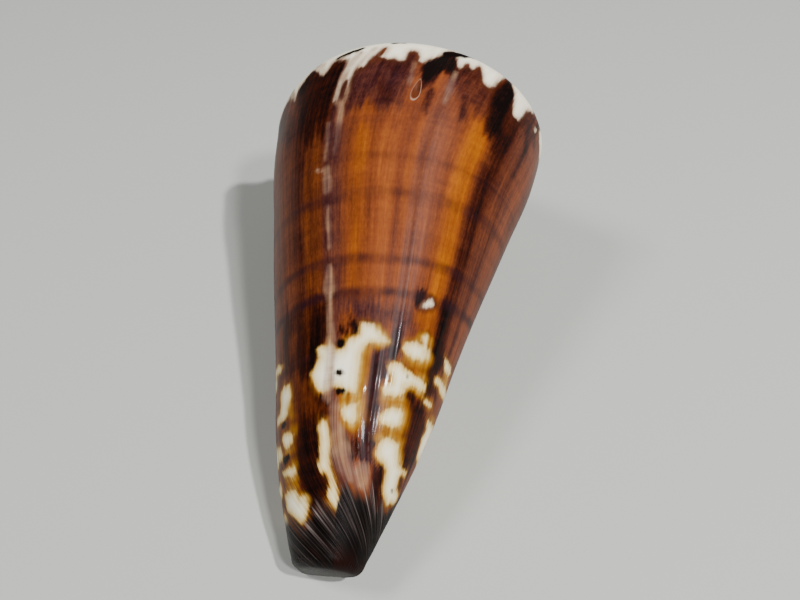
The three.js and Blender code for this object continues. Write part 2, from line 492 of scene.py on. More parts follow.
@dataclass
class ShellForm:
    """Builds the shell's mesh from bent grids, in growth coordinates."""

    law: GrowthLaw = field(default_factory=GrowthLaw)
    lines: GrowthLines = field(default_factory=GrowthLines)
    relief: Relief = field(default_factory=Relief)
    edge: LipEdge = field(default_factory=LipEdge)
    hollow: Hollow = field(default_factory=Hollow)
    axis_tilt: float = math.radians(12.6)
    columns: int = 310
    edge_columns: int = 8
    spire_columns: int = 110
    spire_whorls: int = 8
    base_rows: int = 6
    rim_rows: int = 5
    body_rows: int = 176
    front_density: float = 0.5
    arc_rows: int = 12
    ramp_rows: int = 12
    weld: float = 1e-4
    least_edge: float = 1e-5
    sharp_angle: float = math.radians(38.0)

    @property
    def rim_row(self) -> int:
        """The row where the rim's round starts."""
        return self.base_rows + self.rim_rows

    @property
    def shoulder_row(self) -> int:
        """The row where the body meets the shoulder's round."""
        return self.rim_row + self.body_rows

    @property
    def suture_row(self) -> int:
        """The row on the round where the next whorl's ramp ends."""
        return self.shoulder_row + self.arc_rows // 2

    @property
    def ramp_row(self) -> int:
        """The row where the ramp starts."""
        return self.shoulder_row + self.arc_rows

    @property
    def rows(self) -> int:
        """The last row, at the suture."""
        return self.ramp_row + self.ramp_rows

    def body(self, age: Array, height: Array) -> Array:
        """Returns the outer radius with its relief."""
        return self.law.radius(age, height) + self.relief.outward(self.lines, age, height, self.law)

    def profile(self, age: Array, row: Array) -> tuple[Array, Array]:
        """Returns the radius and height of a growth line's points.

        Args:
            age: whorls back from the lip.
            row: from 0 at the front tip over the rim, body, round and ramp to the suture.

        Returns:
            Arrays of radius and of height.
        """
        law = self.law
        rim_start = law.front_end - law.rim_round
        end = np.full_like(age, law.front_end)
        closing = share(row, 0.0, self.base_rows)
        base_radius = (self.body(age, end) - law.rim_round) * closing
        base = (base_radius, lerp(law.front_tip, law.front_end, closing**2))
        angle = (1.0 - share(row, self.base_rows, self.rim_rows)) * math.pi / 2.0
        rim_height = rim_start + law.rim_round * np.sin(angle)
        rim = (self.body(age, rim_height) - law.rim_round * (1.0 - np.cos(angle)), rim_height)
        part = share(row, self.rim_row, self.body_rows)
        body_height = lerp(rim_start, law.shoulder(age), lerp(part, part**2, self.front_density))
        body = (self.body(age, body_height), body_height)
        arc = law.arc(age, law.arc_end * share(row, self.shoulder_row, self.arc_rows))
        inner = share(row, self.ramp_row, self.ramp_rows)
        ramp = law.ramp(age, inner)
        within = [row <= self.base_rows, row <= self.rim_row, row <= self.shoulder_row, row <= self.ramp_row]
        radius, height = (
            np.select(within, [base[i], rim[i], body[i], arc[i]], ramp[i]) for i in (0, 1)
        )
        thin = self.edge.inward(age) * (1.0 - inner**4)
        turned = smoothstep(row, self.shoulder_row, self.ramp_row)
        return radius - thin * (1.0 - turned) * closing, height + thin * turned

    def grid(self, shape: bmesh.types.BMesh, across: int, along: int) -> tuple[list, Array, Array]:
        """Adds a flat grid to a mesh.

        Args:
            shape: the mesh that takes the grid.
            across: faces along the first way.
            along: faces along the second way.

        Returns:
            The new vertices, and for each its part of the first and of the second way.
        """
        made = bmesh.ops.create_grid(shape, x_segments=across, y_segments=along, size=1.0)
        points = np.array([v.co for v in made["verts"]])
        return made["verts"], (points[:, 0] + 1.0) / 2.0, (points[:, 1] + 1.0) / 2.0

    def bend(self, shape: bmesh.types.BMesh, verts: list, age: Array, radius: Array, height: Array) -> None:
        """Moves a grid's vertices to their place and notes their growth coordinates on its corners.

        Args:
            shape: the mesh that holds the grid.
            verts: the grid's vertices.
            age: whorls back from the lip, for each vertex.
            radius: millimetres from the axis.
            height: millimetres from the apex.
        """
        for vert, point in zip(verts, self.law.place(age, radius, height)):
            vert.co = point
        layer = shape.loops.layers.uv.get(GROWTH_MAP) or shape.loops.layers.uv.new(GROWTH_MAP)
        for vert, a, h in zip(verts, age, height):
            for loop in vert.link_loops:
                loop[layer].uv = (a / AGE_SCALE, h / HEIGHT_SCALE)

    def outer(self) -> bmesh.types.BMesh:
        """Builds the outer form: body, spire, apex, open end of the ramp and lip face.

        Returns:
            The mesh, which is closed once its doubles are welded.
        """
        shape = bmesh.new()
        verts, u, v = self.grid(shape, self.columns, self.rows)
        near = self.edge_columns / self.columns
        age = self.edge.spaced(share(u, 0.0, near), 1.0, share(u, near, 1.0 - near))
        self.bend(shape, verts, age, *self.profile(age, v * self.rows))

        exposed = self.rows - self.suture_row
        for whorl in range(1, self.spire_whorls):
            verts, u, v = self.grid(shape, self.spire_columns, exposed)
            age = whorl + u
            self.bend(shape, verts, age, *self.profile(age, self.suture_row + v * exposed))

        verts, u, v = self.grid(shape, self.spire_columns, 1)
        age = self.spire_whorls + u
        radius, height = self.profile(age, np.full_like(u, self.suture_row))
        self.bend(shape, verts, age, radius * (1.0 - v), height * (1.0 - v))

        verts, u, v = self.grid(shape, 1, exposed)
        age = np.full_like(u, self.spire_whorls)
        radius, height = self.profile(age, self.suture_row + v * exposed)
        self.bend(shape, verts, age, radius * (u < 0.5), height * (u < 0.5))

        verts, u, v = self.grid(shape, 1, self.rows)
        age = np.where(u < 0.5, 1.0, 0.0)
        row = np.where(u < 0.5, np.minimum(v * self.rows, self.suture_row), v * self.rows)
        self.bend(shape, verts, age, *self.profile(age, row))
        return shape

    def space(self) -> bmesh.types.BMesh:
        """Builds the solid of the open space behind the lip.

        Returns:
            The closed mesh.
        """
        law, hollow = self.law, self.hollow
        shape = bmesh.new()
        around = 2 * (hollow.side_rows + hollow.roof_rows)
        verts, u, v = self.grid(shape, hollow.columns, around)
        near = hollow.near_part
        far_part = share(u, 2.0 * near, 1.0 - 2.0 * near)
        behind = self.edge.spaced(share(u, near, near), hollow.depth, far_part)
        age = np.where(u < near, lerp(-hollow.ahead, 0.0, u / near), behind)
        row = v * around
        side, top = hollow.side_rows, hollow.roof_rows
        up = share(row, 0.0, side)
        over = smoothstep(row, side, side + top)
        down = share(row, side + top, side)
        back = share(row, 2 * side + top, top)
        thin = np.where(age < 0.0, self.edge.thinning, self.edge.inward(age))
        receded = smoothstep(age, hollow.canal_reach, hollow.canal_reach + hollow.canal_fade)
        bottom = lerp(law.front_end + hollow.overrun, hollow.back_end, receded)
        ceiling = lerp(law.arc(age, law.arc_end)[1], law.arc(age, law.suture_angle)[1], over)
        roof = ceiling + hollow.roof - thin
        height = np.where(row <= side, lerp(bottom, roof, up), lerp(roof, bottom, down))
        step = lerp(hollow.glaze_step, -hollow.glaze_step, smoothstep(age, *hollow.glaze_fade))
        wall = lerp(hollow.lip_wall, hollow.inner_wall, smoothstep(age, 0.0, hollow.thickening)) - thin
        inner = law.radius(age + 1.0, height) + step
        outer = np.maximum(law.radius(age, height) - wall, inner + hollow.narrowest)
        self.bend(shape, verts, age, lerp(inner, outer, over * (1.0 - back)), height)
        bmesh.ops.remove_doubles(shape, verts=shape.verts, dist=self.weld)
        open_edges = [edge for edge in shape.edges if edge.is_boundary]
        caps = bmesh.ops.holes_fill(shape, edges=open_edges)
        bmesh.ops.triangulate(shape, faces=caps["faces"])
        for face in shape.faces:
            face.material_index = 1
        return shape

    def solid(self, name: str, shape: bmesh.types.BMesh) -> bpy.types.Object:
        """Closes a shape, points its faces outwards and makes it an object.

        Args:
            name: the object's name.
            shape: the mesh, which is freed.

        Returns:
            The new object, in millimetres.
        """
        bmesh.ops.remove_doubles(shape, verts=shape.verts, dist=self.weld)
        bmesh.ops.dissolve_degenerate(shape, edges=shape.edges, dist=self.least_edge)
        bmesh.ops.recalc_face_normals(shape, faces=shape.faces)
        loose = sum(1 for edge in shape.edges if not edge.is_manifold)
        LOG.info("%s: %d faces, %d open edges", name, len(shape.faces), loose)
        return add_object(name, mesh_of(name, shape))

    def build(self, name: str) -> bpy.types.Object:
        """Cuts the hollow out of the outer form and lays the shell down.

        Args:
            name: the finished piece's name.

        Returns:
            The shell in metres, in the row frame, with its object at the origin.
        """
        outer = self.solid(name + "_outer", self.outer())
        space = self.solid(name + "_space", self.space())
        cut = outer.modifiers.new("open_space", "BOOLEAN")
        cut.operation = "DIFFERENCE"
        cut.solver = "MANIFOLD"
        cut.object = space
        graph = bpy.context.evaluated_depsgraph_get()
        mesh = bpy.data.meshes.new_from_object(outer.evaluated_get(graph))
        for spare in (outer, space):
            bpy.data.objects.remove(spare)
        mesh.name = name
        shell = add_object(name, mesh)
        self.lay_down(mesh)
        for polygon in mesh.polygons:
            polygon.use_smooth = True
        mesh.set_sharp_from_angle(angle=self.sharp_angle)
        return shell

    def lay_down(self, mesh: bpy.types.Mesh) -> None:
        """Turns the mesh to its rest pose, in metres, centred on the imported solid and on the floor.

        Args:
            mesh: the finished mesh, in millimetres about its own axis.
        """
        back = Vector((0.0, -math.sin(self.axis_tilt), math.cos(self.axis_tilt)))
        side = Vector((1.0, 0.0, 0.0))
        spire = Vector((0.0, math.cos(self.axis_tilt), math.sin(self.axis_tilt)))
        turn = Matrix((back, side, spire)).transposed().to_4x4()
        mesh.transform(Matrix.Scale(MM, 4) @ turn)
        points = np.array([v.co for v in mesh.vertices])
        low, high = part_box(NODE)
        middle = (points.min(0) + points.max(0)) / 2.0
        across, along = (low.x + high.x) / 2.0 - middle[0], (low.y + high.y) / 2.0 - middle[1]
        mesh.transform(Matrix.Translation((across, along, low.z - points[:, 2].min())))


class Mark(Enum):
    """What a marking paints."""

    TONE = "tone"
    WHITE = "white"
    OCHRE = "ochre"
    PALE = "pale"
    DARK = "dark"


@dataclass(frozen=True)
class Marking:
    """A streak drawn with a round brush, or a patch with an outline.

    A streak's points are an age in whorls, a height and a half width in millimetres. A patch's points are
    an age and a height. A tone marking pulls the body's tone, from 0 black to 1 bright, and its tint, from
    -1 mauve to 1 amber, towards its own, over a soft edge.
    """

    mark: Mark
    points: tuple[tuple[float, ...], ...]
    tone: float = 0.0
    tint: float = 0.0
    soft: float = 0.6

    @property
    def is_patch(self) -> bool:
        """Whether the points are an outline."""
        return len(self.points[0]) == 2

    def depth(self, age: Array, height: Array, girth: Array) -> Array:
        """Returns how deep each point lies in the marking, in millimetres, and below 0 outside it.

        Args:
            age: whorls back from the lip.
            height: millimetres from the apex.
            girth: millimetres round one whorl at each point.

        Returns:
            The depth, which ends at FAR.
        """
        ends = self.points[1:] + self.points[:1] if self.is_patch else self.points[1:] or self.points
        inside = np.zeros(len(age), dtype=bool)
        best = np.full_like(age, -FAR)
        for start, end in zip(self.points, ends):
            x, y = (age - start[0]) * girth, height - start[1]
            dx, dy = (end[0] - start[0]) * girth, end[1] - start[1]
            part = np.clip((x * dx + y * dy) / np.maximum(dx * dx + dy * dy, TINY), 0.0, 1.0)
            half = 0.0 if self.is_patch else lerp(start[2], end[2], part)
            best = np.maximum(best, half - np.hypot(x - part * dx, y - part * dy))
            if self.is_patch and dy:
                crossed = (start[1] > height) != (end[1] > height)
                inside ^= crossed & (age < start[0] + y / dy * (end[0] - start[0]))
        return np.where(inside, -best, best)

    def near(self, age: Array, height: Array) -> Array:
        """Returns the places of the points that the marking can reach.

        Args:
            age: whorls back from the lip.
            height: millimetres from the apex.

        Returns:
            Their indices in the arrays.
        """
        half = FAR + (0.0 if self.is_patch else max(p[2] for p in self.points))
        ages, heights = [p[0] for p in self.points], [p[1] for p in self.points]
        beside = half / LEAST_GIRTH
        across = (age > min(ages) - beside) & (age < max(ages) + beside)
        return np.flatnonzero(across & (height > min(heights) - half) & (height < max(heights) + half))


def marks(mark: Mark, *paths: tuple) -> list[Marking]:
    """Returns one marking for each path of points."""
    return [Marking(mark, path) for path in paths]


def tones(tone: float, tint: float, soft: float, *paths: tuple) -> list[Marking]:
    """Returns one tone marking for each path of points, all with one tone, tint and soft edge."""
    return [Marking(Mark.TONE, path, tone, tint, soft) for path in paths]


# The brown's streaks along the growth lines that can be seen: line, tone and tint. The mauve tints from line
# 0.394 to 0.412 are partly the shell's own pink scar and partly painted sheen, the pink of the key light's
# broad reflection laid into the colour
AXIAL_TONES_AND_SHEEN = (
    (0.13, 0.5, 0.0), (0.19, 0.52, 0.0), (0.205, 0.54, 0.1), (0.22, 0.44, 0.3), (0.232, 0.33, 0.2),
    (0.24, 0.36, 0.2), (0.25, 0.49, 0.4), (0.256, 0.45, 0.3), (0.262, 0.52, 0.4), (0.272, 0.41, 0.15),
    (0.28, 0.42, -0.6), (0.292, 0.46, -0.6), (0.302, 0.55, -0.3), (0.312, 0.62, 0.2), (0.322, 0.68, 0.6),
    (0.332, 0.66, 0.4), (0.341, 0.61, 0.1), (0.349, 0.73, 0.1), (0.357, 0.8, 0.1), (0.365, 0.77, 0.1),
    # From line 0.394 to 0.412 the mauve tint is partly the pink scar and partly a painted sheen of the key
    # light
    (0.372, 0.66, 0.0), (0.3785, 0.6, -0.1), (0.382, 0.66, 0.1), (0.388, 0.77, 0.15), (0.394, 0.66, -0.3),
    (0.4, 0.58, -0.5), (0.406, 0.62, -0.4), (0.412, 0.66, -0.2), (0.418, 0.72, 0.0), (0.425, 0.67, 0.1),
    (0.433, 0.6, 0.2), (0.442, 0.68, 0.6), (0.452, 0.77, 0.9), (0.462, 0.77, 0.9), (0.469, 0.68, 0.6),
    (0.474, 0.5, 0.3), (0.48, 0.34, 0.0), (0.488, 0.24, 0.0), (0.496, 0.26, 0.0), (0.504, 0.42, 0.0),
    (0.512, 0.49, -0.1), (0.522, 0.5, 0.0), (0.532, 0.38, -0.1), (0.541, 0.54, -0.1), (0.552, 0.61, -0.2),
    (0.565, 0.63, -0.2), (0.58, 0.55, -0.1), (0.6, 0.5, 0.0),
)

# Darker and lighter places of the brown
TONES = [
    *tones(0.56, -0.1, 1.6, ((0.308, 23.6, 0.8), (0.366, 23.4, 0.8))),
    *tones(0.41, -0.65, 1.6, ((0.3, 49.4, 0.6), (0.35, 50.4, 1.7), (0.42, 50.4, 1.5))),
    *tones(
        0.24, -0.2, 2.0,
        ((0.172, 15.0, 0.6), (0.19, 17.0, 1.6), (0.215, 19.0, 2.0), (0.228, 22.0, 1.6)),
    ),
    *tones(
        0.36, -0.5, 1.3,
        (
            (0.31, 17.5), (0.318, 15.0), (0.345, 13.0), (0.386, 12.0), (0.387, 14.5), (0.38, 17.5),
            (0.374, 21.2), (0.36, 22.0), (0.344, 21.4), (0.33, 21.4), (0.306, 21.8),
        ),
    ),
    *tones(
        0.3, -0.3, 0.7,
        ((0.347, 17.5, 0.8), (0.357, 19.8, 0.9)),
        ((0.35, 14.6, 0.3), (0.365, 15.0, 0.8)),
        ((0.376, 13.5, 0.6), (0.374, 16.6, 0.5)),
    ),
    *tones(
        0.43, -0.1, 1.0,
        (
            (0.431, 12.8), (0.44, 11.6), (0.454, 11.0), (0.459, 13.0), (0.475, 13.6), (0.48, 16.0),
            (0.474, 19.4), (0.462, 20.0), (0.452, 18.6), (0.437, 19.2), (0.43, 17.0),
        ),
    ),
    *tones(
        0.26, -0.2, 0.7,
        ((0.436, 12.8, 0.5), (0.443, 14.2, 1.0), (0.452, 13.6, 0.9), (0.455, 12.2, 0.4)),
        ((0.441, 17.6, 0.3), (0.442, 20.4, 0.6)),
        ((0.3995, 22.0, 0.2), (0.404, 18.8, 0.5)),
    ),
    *tones(
        0.21, 0.3, 0.8,
        (
            (0.19, 49.9), (0.23, 49.4), (0.255, 48.5), (0.275, 48.9), (0.284, 50.0), (0.286, 54.6),
            (0.268, 55.4), (0.252, 58.6), (0.262, 61.8), (0.288, 62.0), (0.293, 64.0), (0.27, 65.6),
            (0.273, 69.6), (0.3, 72.2), (0.295, 74.0), (0.25, 76.5), (0.233, 72.6), (0.214, 71.0),
            (0.21, 68.0), (0.224, 65.5), (0.212, 61.5), (0.206, 58.6), (0.18, 58.0), (0.18, 52.0),
        ),
    ),
    *tones(
        0.42, 0.6, 1.0,
        ((0.205, 54.0, 1.2), (0.19, 57.0, 0.6)),
        ((0.225, 59.6, 0.9), (0.24, 62.4, 1.3), (0.28, 63.4, 0.7)),
        ((0.212, 63.0, 0.8), (0.217, 67.4, 0.9)),
        ((0.2, 58.7, 0.3), (0.215, 59.0, 0.3)),
    ),
    *tones(
        0.1, 0.0, 0.9,
        ((0.268, 50.6, 0.8), (0.272, 54.0, 0.8), (0.258, 56.4, 1.0), (0.244, 58.6, 0.9)),
        ((0.238, 66.4, 1.1), (0.25, 70.4, 1.6), (0.258, 74.0, 1.2)),
        ((0.274, 61.9, 0.3), (0.291, 62.4, 0.4)),
        ((0.214, 69.4, 0.6), (0.225, 70.4, 0.6)),
        ((0.278, 72.4, 0.9), (0.295, 72.8, 0.4)),
        ((0.265, 66.2, 0.8), (0.268, 69.4, 0.9)),
    ),
    *tones(
        0.27, -0.8, 0.5,
        (
            (0.366, 55.2), (0.39, 54.0), (0.397, 51.5), (0.411, 51.5), (0.413, 54.2), (0.405, 56.0),
            (0.391, 57.2), (0.387, 60.0), (0.392, 62.0), (0.391, 65.0), (0.399, 67.0), (0.398, 69.0),
            (0.38, 69.6), (0.362, 69.2), (0.36, 66.0), (0.361, 62.0), (0.362, 57.0),
        ),
    ),
    *tones(
        0.14, -0.5, 0.5,
        ((0.393, 54.5, 0.5), (0.407, 54.8, 0.6)),
        ((0.387, 57.6, 0.6), (0.391, 58.6, 0.5)),
        ((0.374, 57.0, 0.3), (0.376, 64.0, 0.4)),
        ((0.382, 66.4, 0.6), (0.395, 67.0, 0.5)),
    ),
    *tones(
        0.17, 0.1, 0.45,
        (
            (0.43, 59.9), (0.446, 58.9), (0.458, 58.5), (0.47, 59.2), (0.477, 60.2), (0.505, 60.9),
            (0.518, 61.6), (0.526, 63.4), (0.532, 65.0), (0.544, 66.2), (0.541, 67.4), (0.515, 68.1),
            (0.478, 67.9), (0.464, 66.6), (0.459, 64.5), (0.458, 61.6),
        ),
        (
            (0.474, 56.2), (0.485, 55.2), (0.497, 55.0), (0.507, 56.8), (0.528, 57.3), (0.525, 58.3),
            (0.49, 58.4),
        ),
        (
            (0.482, 52.4), (0.496, 51.6), (0.518, 52.8), (0.5265, 53.8), (0.515, 54.8), (0.5, 55.2),
            (0.484, 54.4),
        ),
    ),
    *tones(0.27, -0.1, 1.2, ((0.478, 62.6, 0.7), (0.492, 65.6, 0.9))),
    *tones(
        0.12, -0.1, 0.45,
        (
            (0.4, 68.8), (0.428, 69.0), (0.437, 70.0), (0.4425, 71.4), (0.468, 73.0), (0.48, 74.6),
            (0.43, 74.0), (0.408, 71.0),
        ),
        ((0.333, 67.0, 0.6), (0.352, 68.0, 1.1)),
        ((0.304, 68.6, 0.5), (0.31, 69.2, 0.4)),
        ((0.43, 46.6, 0.7), (0.428, 47.8, 0.6)),
        ((0.308, 53.4, 0.5), (0.33, 53.0, 1.0)),
    ),
    *tones(
        0.5, 0.3, 0.6,
        ((0.33, 65.4, 0.5), (0.348, 66.2, 0.6)),
        ((0.326, 53.4, 0.2), (0.312, 52.6, 0.5)),
    ),
    *tones(0.7, 0.9, 1.0, ((0.44, 49.6, 1.4), (0.472, 49.8, 1.2))),
    *tones(
        0.05, 0.0, 0.9,
        ((0.482, 20.0, 1.2), (0.49, 14.0, 1.9), (0.5, 11.4, 1.4), (0.504, 9.2, 0.9), (0.511, 6.6, 1.5)),
        ((0.5, 20.0, 0.8), (0.494, 23.0, 0.4)),
        ((0.485, 47.0, 1.0), (0.492, 54.0, 1.0)),
    ),
    *tones(
        0.2, -0.1, 0.9,
        ((0.532, 14.6, 0.5), (0.547, 12.6, 1.1), (0.545, 16.0, 0.9), (0.552, 18.4, 0.4)),
        ((0.565, 13.4, 0.4), (0.57, 15.0, 0.5)),
        ((0.565, 10.4, 0.8), (0.586, 8.2, 1.2)),
    ),
    *tones(
        0.04, 0.0, 0.6,
        ((0.396, 15.4, 1.0), (0.404, 14.0, 1.5), (0.416, 12.8, 1.7), (0.423, 14.2, 1.0)),
        ((0.395, 17.6, 0.3), (0.4, 16.0, 0.7)),
    ),
    *tones(
        0.14, 0.0, 1.1,
        (
            (0.236, 13.0), (0.262, 11.0), (0.28, 13.0), (0.295, 11.5), (0.31, 12.6), (0.3045, 15.5),
            (0.2965, 19.0), (0.291, 21.5), (0.284, 24.4), (0.268, 24.6), (0.256, 25.6), (0.243, 23.0),
            (0.236, 17.5),
        ),
    ),
    *tones(0.34, 0.0, 2.0, ((0.2, 16.0, 1.0), (0.225, 20.0, 1.6))),
]

# The lower edge of the shoulder's white: age and height
SHOULDER_EDGE = (
    (0.13, 13.4), (0.185, 14.0), (0.215, 13.6), (0.222, 14.4), (0.229, 15.6), (0.2315, 15.5),
    (0.2335, 14.4), (0.238, 13.6), (0.247, 13.2), (0.252, 12.6), (0.258, 12.0), (0.263, 12.1),
    (0.267, 12.7), (0.27, 13.2), (0.275, 14.0), (0.279, 14.5), (0.283, 14.1), (0.287, 13.2), (0.2915, 12.5),
    (0.298, 12.4), (0.302, 12.7), (0.3085, 13.0), (0.3065, 13.8), (0.3035, 14.8), (0.3005, 16.2),
    (0.297, 17.8), (0.2945, 19.3), (0.2935, 20.0), (0.2985, 20.2), (0.301, 19.2), (0.3035, 18.0),
    (0.307, 16.6), (0.31, 16.8), (0.3085, 19.0), (0.3125, 18.4), (0.316, 16.4), (0.319, 15.4),
    (0.323, 14.6), (0.328, 15.0), (0.332, 14.5), (0.335, 13.8), (0.3385, 13.2), (0.342, 12.9),
    (0.346, 12.4), (0.3485, 11.8), (0.352, 11.7), (0.3515, 12.3), (0.348, 13.0), (0.3455, 13.3),
    (0.35, 13.5), (0.353, 13.9), (0.358, 13.9), (0.361, 13.7), (0.364, 14.0), (0.369, 14.1), (0.373, 13.8),
    (0.3745, 13.0), (0.3755, 12.4), (0.379, 12.1), (0.385, 12.2), (0.3875, 12.9), (0.387, 13.7),
    (0.3895, 14.0), (0.393, 13.9), (0.397, 13.3), (0.401, 12.9), (0.408, 12.2), (0.414, 11.3), (0.42, 10.6),
    (0.4235, 10.3), (0.4245, 11.2), (0.427, 12.1), (0.4285, 13.0), (0.4305, 13.3), (0.4345, 12.9),
    (0.437, 12.2), (0.4405, 12.0), (0.443, 12.5), (0.448, 12.4), (0.4505, 11.8), (0.454, 11.5),
    (0.4565, 12.0), (0.458, 12.8), (0.4595, 13.6), (0.463, 14.0), (0.468, 14.1), (0.4735, 13.7),
    (0.4765, 13.3), (0.479, 12.3), (0.483, 11.4), (0.488, 10.7), (0.4945, 9.8), (0.4985, 8.4), (0.504, 6.8),
    (0.515, 6.0), (0.513, 8.4), (0.502, 9.3), (0.4995, 10.0), (0.501, 11.0), (0.505, 11.9), (0.5065, 13.0),
    (0.5075, 14.2), (0.509, 15.0), (0.5125, 15.5), (0.5205, 15.4), (0.525, 14.6), (0.529, 13.8),
    (0.532, 12.6), (0.537, 11.9), (0.5455, 11.5), (0.5485, 11.0), (0.553, 10.0), (0.559, 9.3), (0.567, 8.4),
    (0.58, 7.6), (0.598, 8.4), (0.585, 9.4), (0.574, 10.3), (0.5715, 11.0), (0.578, 11.9), (0.584, 12.5),
    (0.6, 13.2), (0.62, 13.6),
)

# White patches, the last of which make the pale zone near the front end
WHITES = marks(
    Mark.WHITE,
    ((0.5585, 12.9), (0.5605, 12.2), (0.569, 12.0), (0.5675, 12.8), (0.562, 13.3)),
    (
        (0.433, 48.5), (0.4355, 47.4), (0.444, 46.8), (0.4515, 46.5), (0.46, 47.3), (0.452, 47.9),
        (0.442, 48.3),
    ),
    (
        (0.3385, 52.1), (0.362, 52.0), (0.375, 52.9), (0.389, 53.9), (0.376, 54.5), (0.36, 54.7),
        (0.35, 55.3), (0.3455, 56.6), (0.347, 58.5), (0.346, 61.5), (0.332, 61.3), (0.322, 61.7),
        (0.312, 60.9), (0.301, 61.1), (0.285, 61.7), (0.27, 61.4), (0.263, 60.8), (0.257, 60.0),
        (0.253, 59.0), (0.259, 58.2), (0.268, 57.0), (0.262, 55.6), (0.285, 55.2), (0.289, 54.6),
        (0.303, 55.8), (0.312, 55.5), (0.317, 54.6), (0.325, 54.2), (0.336, 53.6),
    ),
    (
        (0.315, 63.6), (0.324, 62.9), (0.335, 62.6), (0.35, 62.3), (0.3515, 64.6), (0.342, 65.0),
        (0.322, 64.8),
    ),
    (
        (0.27, 65.8), (0.278, 64.7), (0.29, 64.9), (0.298, 66.0), (0.3005, 67.8), (0.299, 69.2),
        (0.304, 70.3), (0.313, 71.4), (0.322, 72.5), (0.332, 74.2), (0.338, 75.4), (0.331, 75.6),
        (0.316, 75.0), (0.303, 74.4), (0.296, 73.7), (0.302, 72.7), (0.298, 71.8), (0.29, 71.2),
        (0.278, 71.0), (0.271, 70.3), (0.276, 69.0), (0.275, 67.6),
    ),
    (
        (0.166, 60.2), (0.178, 59.5), (0.2, 59.7), (0.206, 60.8), (0.208, 61.6), (0.2, 62.3), (0.195, 63.0),
        (0.197, 63.8), (0.185, 64.3), (0.14, 64.5), (0.14, 63.6), (0.162, 63.0), (0.166, 62.2),
        (0.164, 61.2),
    ),
    (
        (0.163, 66.6), (0.175, 65.9), (0.195, 65.8), (0.211, 66.4), (0.207, 67.3), (0.195, 67.9),
        (0.178, 68.1),
    ),
    ((0.145, 70.5), (0.185, 70.2), (0.208, 70.3), (0.212, 71.0), (0.2, 71.6), (0.16, 71.3)),
    (
        (0.145, 73.2), (0.18, 72.9), (0.205, 73.0), (0.215, 73.9), (0.235, 73.7), (0.243, 74.7),
        (0.24, 75.9), (0.226, 76.9), (0.21, 77.1), (0.195, 76.6), (0.15, 75.4),
    ),
    ((0.13, 67.0), (0.155, 67.2), (0.166, 68.5), (0.158, 69.3), (0.13, 69.2)),
    ((0.12, 55.6), (0.16, 55.9), (0.178, 56.7), (0.165, 57.5), (0.12, 57.2)),
    (
        (0.4135, 54.3), (0.418, 53.6), (0.43, 53.0), (0.445, 52.8), (0.46, 52.6), (0.472, 53.0),
        (0.474, 54.2), (0.46, 55.1), (0.44, 55.3), (0.424, 55.1),
    ),
    ((0.447, 51.8), (0.456, 51.2), (0.463, 51.5), (0.465, 52.8), (0.452, 52.9)),
    (
        (0.391, 57.2), (0.402, 56.3), (0.415, 56.2), (0.43, 56.6), (0.45, 57.0), (0.47, 57.0),
        (0.484, 57.4), (0.487, 58.4), (0.475, 58.7), (0.45, 58.5), (0.436, 59.1), (0.437, 59.7),
        (0.43, 60.5), (0.41, 60.8), (0.395, 60.9), (0.3885, 60.0), (0.395, 59.3), (0.403, 58.9),
        (0.399, 58.0),
    ),
    (
        (0.3925, 63.4), (0.402, 62.3), (0.418, 61.9), (0.435, 61.6), (0.446, 62.2), (0.449, 63.3),
        (0.445, 64.0), (0.43, 64.4), (0.397, 64.4),
    ),
    (
        (0.4, 66.8), (0.408, 65.9), (0.42, 65.5), (0.44, 65.5), (0.455, 65.8), (0.463, 66.9), (0.476, 67.9),
        (0.49, 68.2), (0.524, 68.3), (0.523, 69.1), (0.505, 69.0), (0.497, 69.5), (0.505, 70.6),
        (0.535, 71.2), (0.543, 72.0), (0.53, 72.7), (0.505, 72.7), (0.485, 73.2), (0.465, 72.6),
        (0.45, 72.1), (0.443, 71.3), (0.44, 70.3), (0.437, 69.4), (0.428, 69.0), (0.41, 68.6),
        (0.401, 68.0),
    ),
    ((0.5165, 52.6), (0.53, 52.5), (0.56, 52.6), (0.57, 53.3), (0.56, 54.1), (0.535, 54.2), (0.5255, 53.8)),
    (
        (0.503, 55.9), (0.51, 55.5), (0.6, 55.4), (0.6, 56.9), (0.57, 57.1), (0.54, 57.1), (0.53, 56.6),
        (0.505, 56.6),
    ),
    ((0.486, 59.3), (0.498, 59.0), (0.52, 59.0), (0.526, 59.4), (0.515, 59.9), (0.49, 59.8)),
    (
        (0.522, 61.2), (0.545, 60.9), (0.6, 60.6), (0.6, 66.7), (0.57, 66.4), (0.545, 65.9), (0.536, 64.9),
        (0.527, 63.6), (0.535, 62.5),
    ),
)

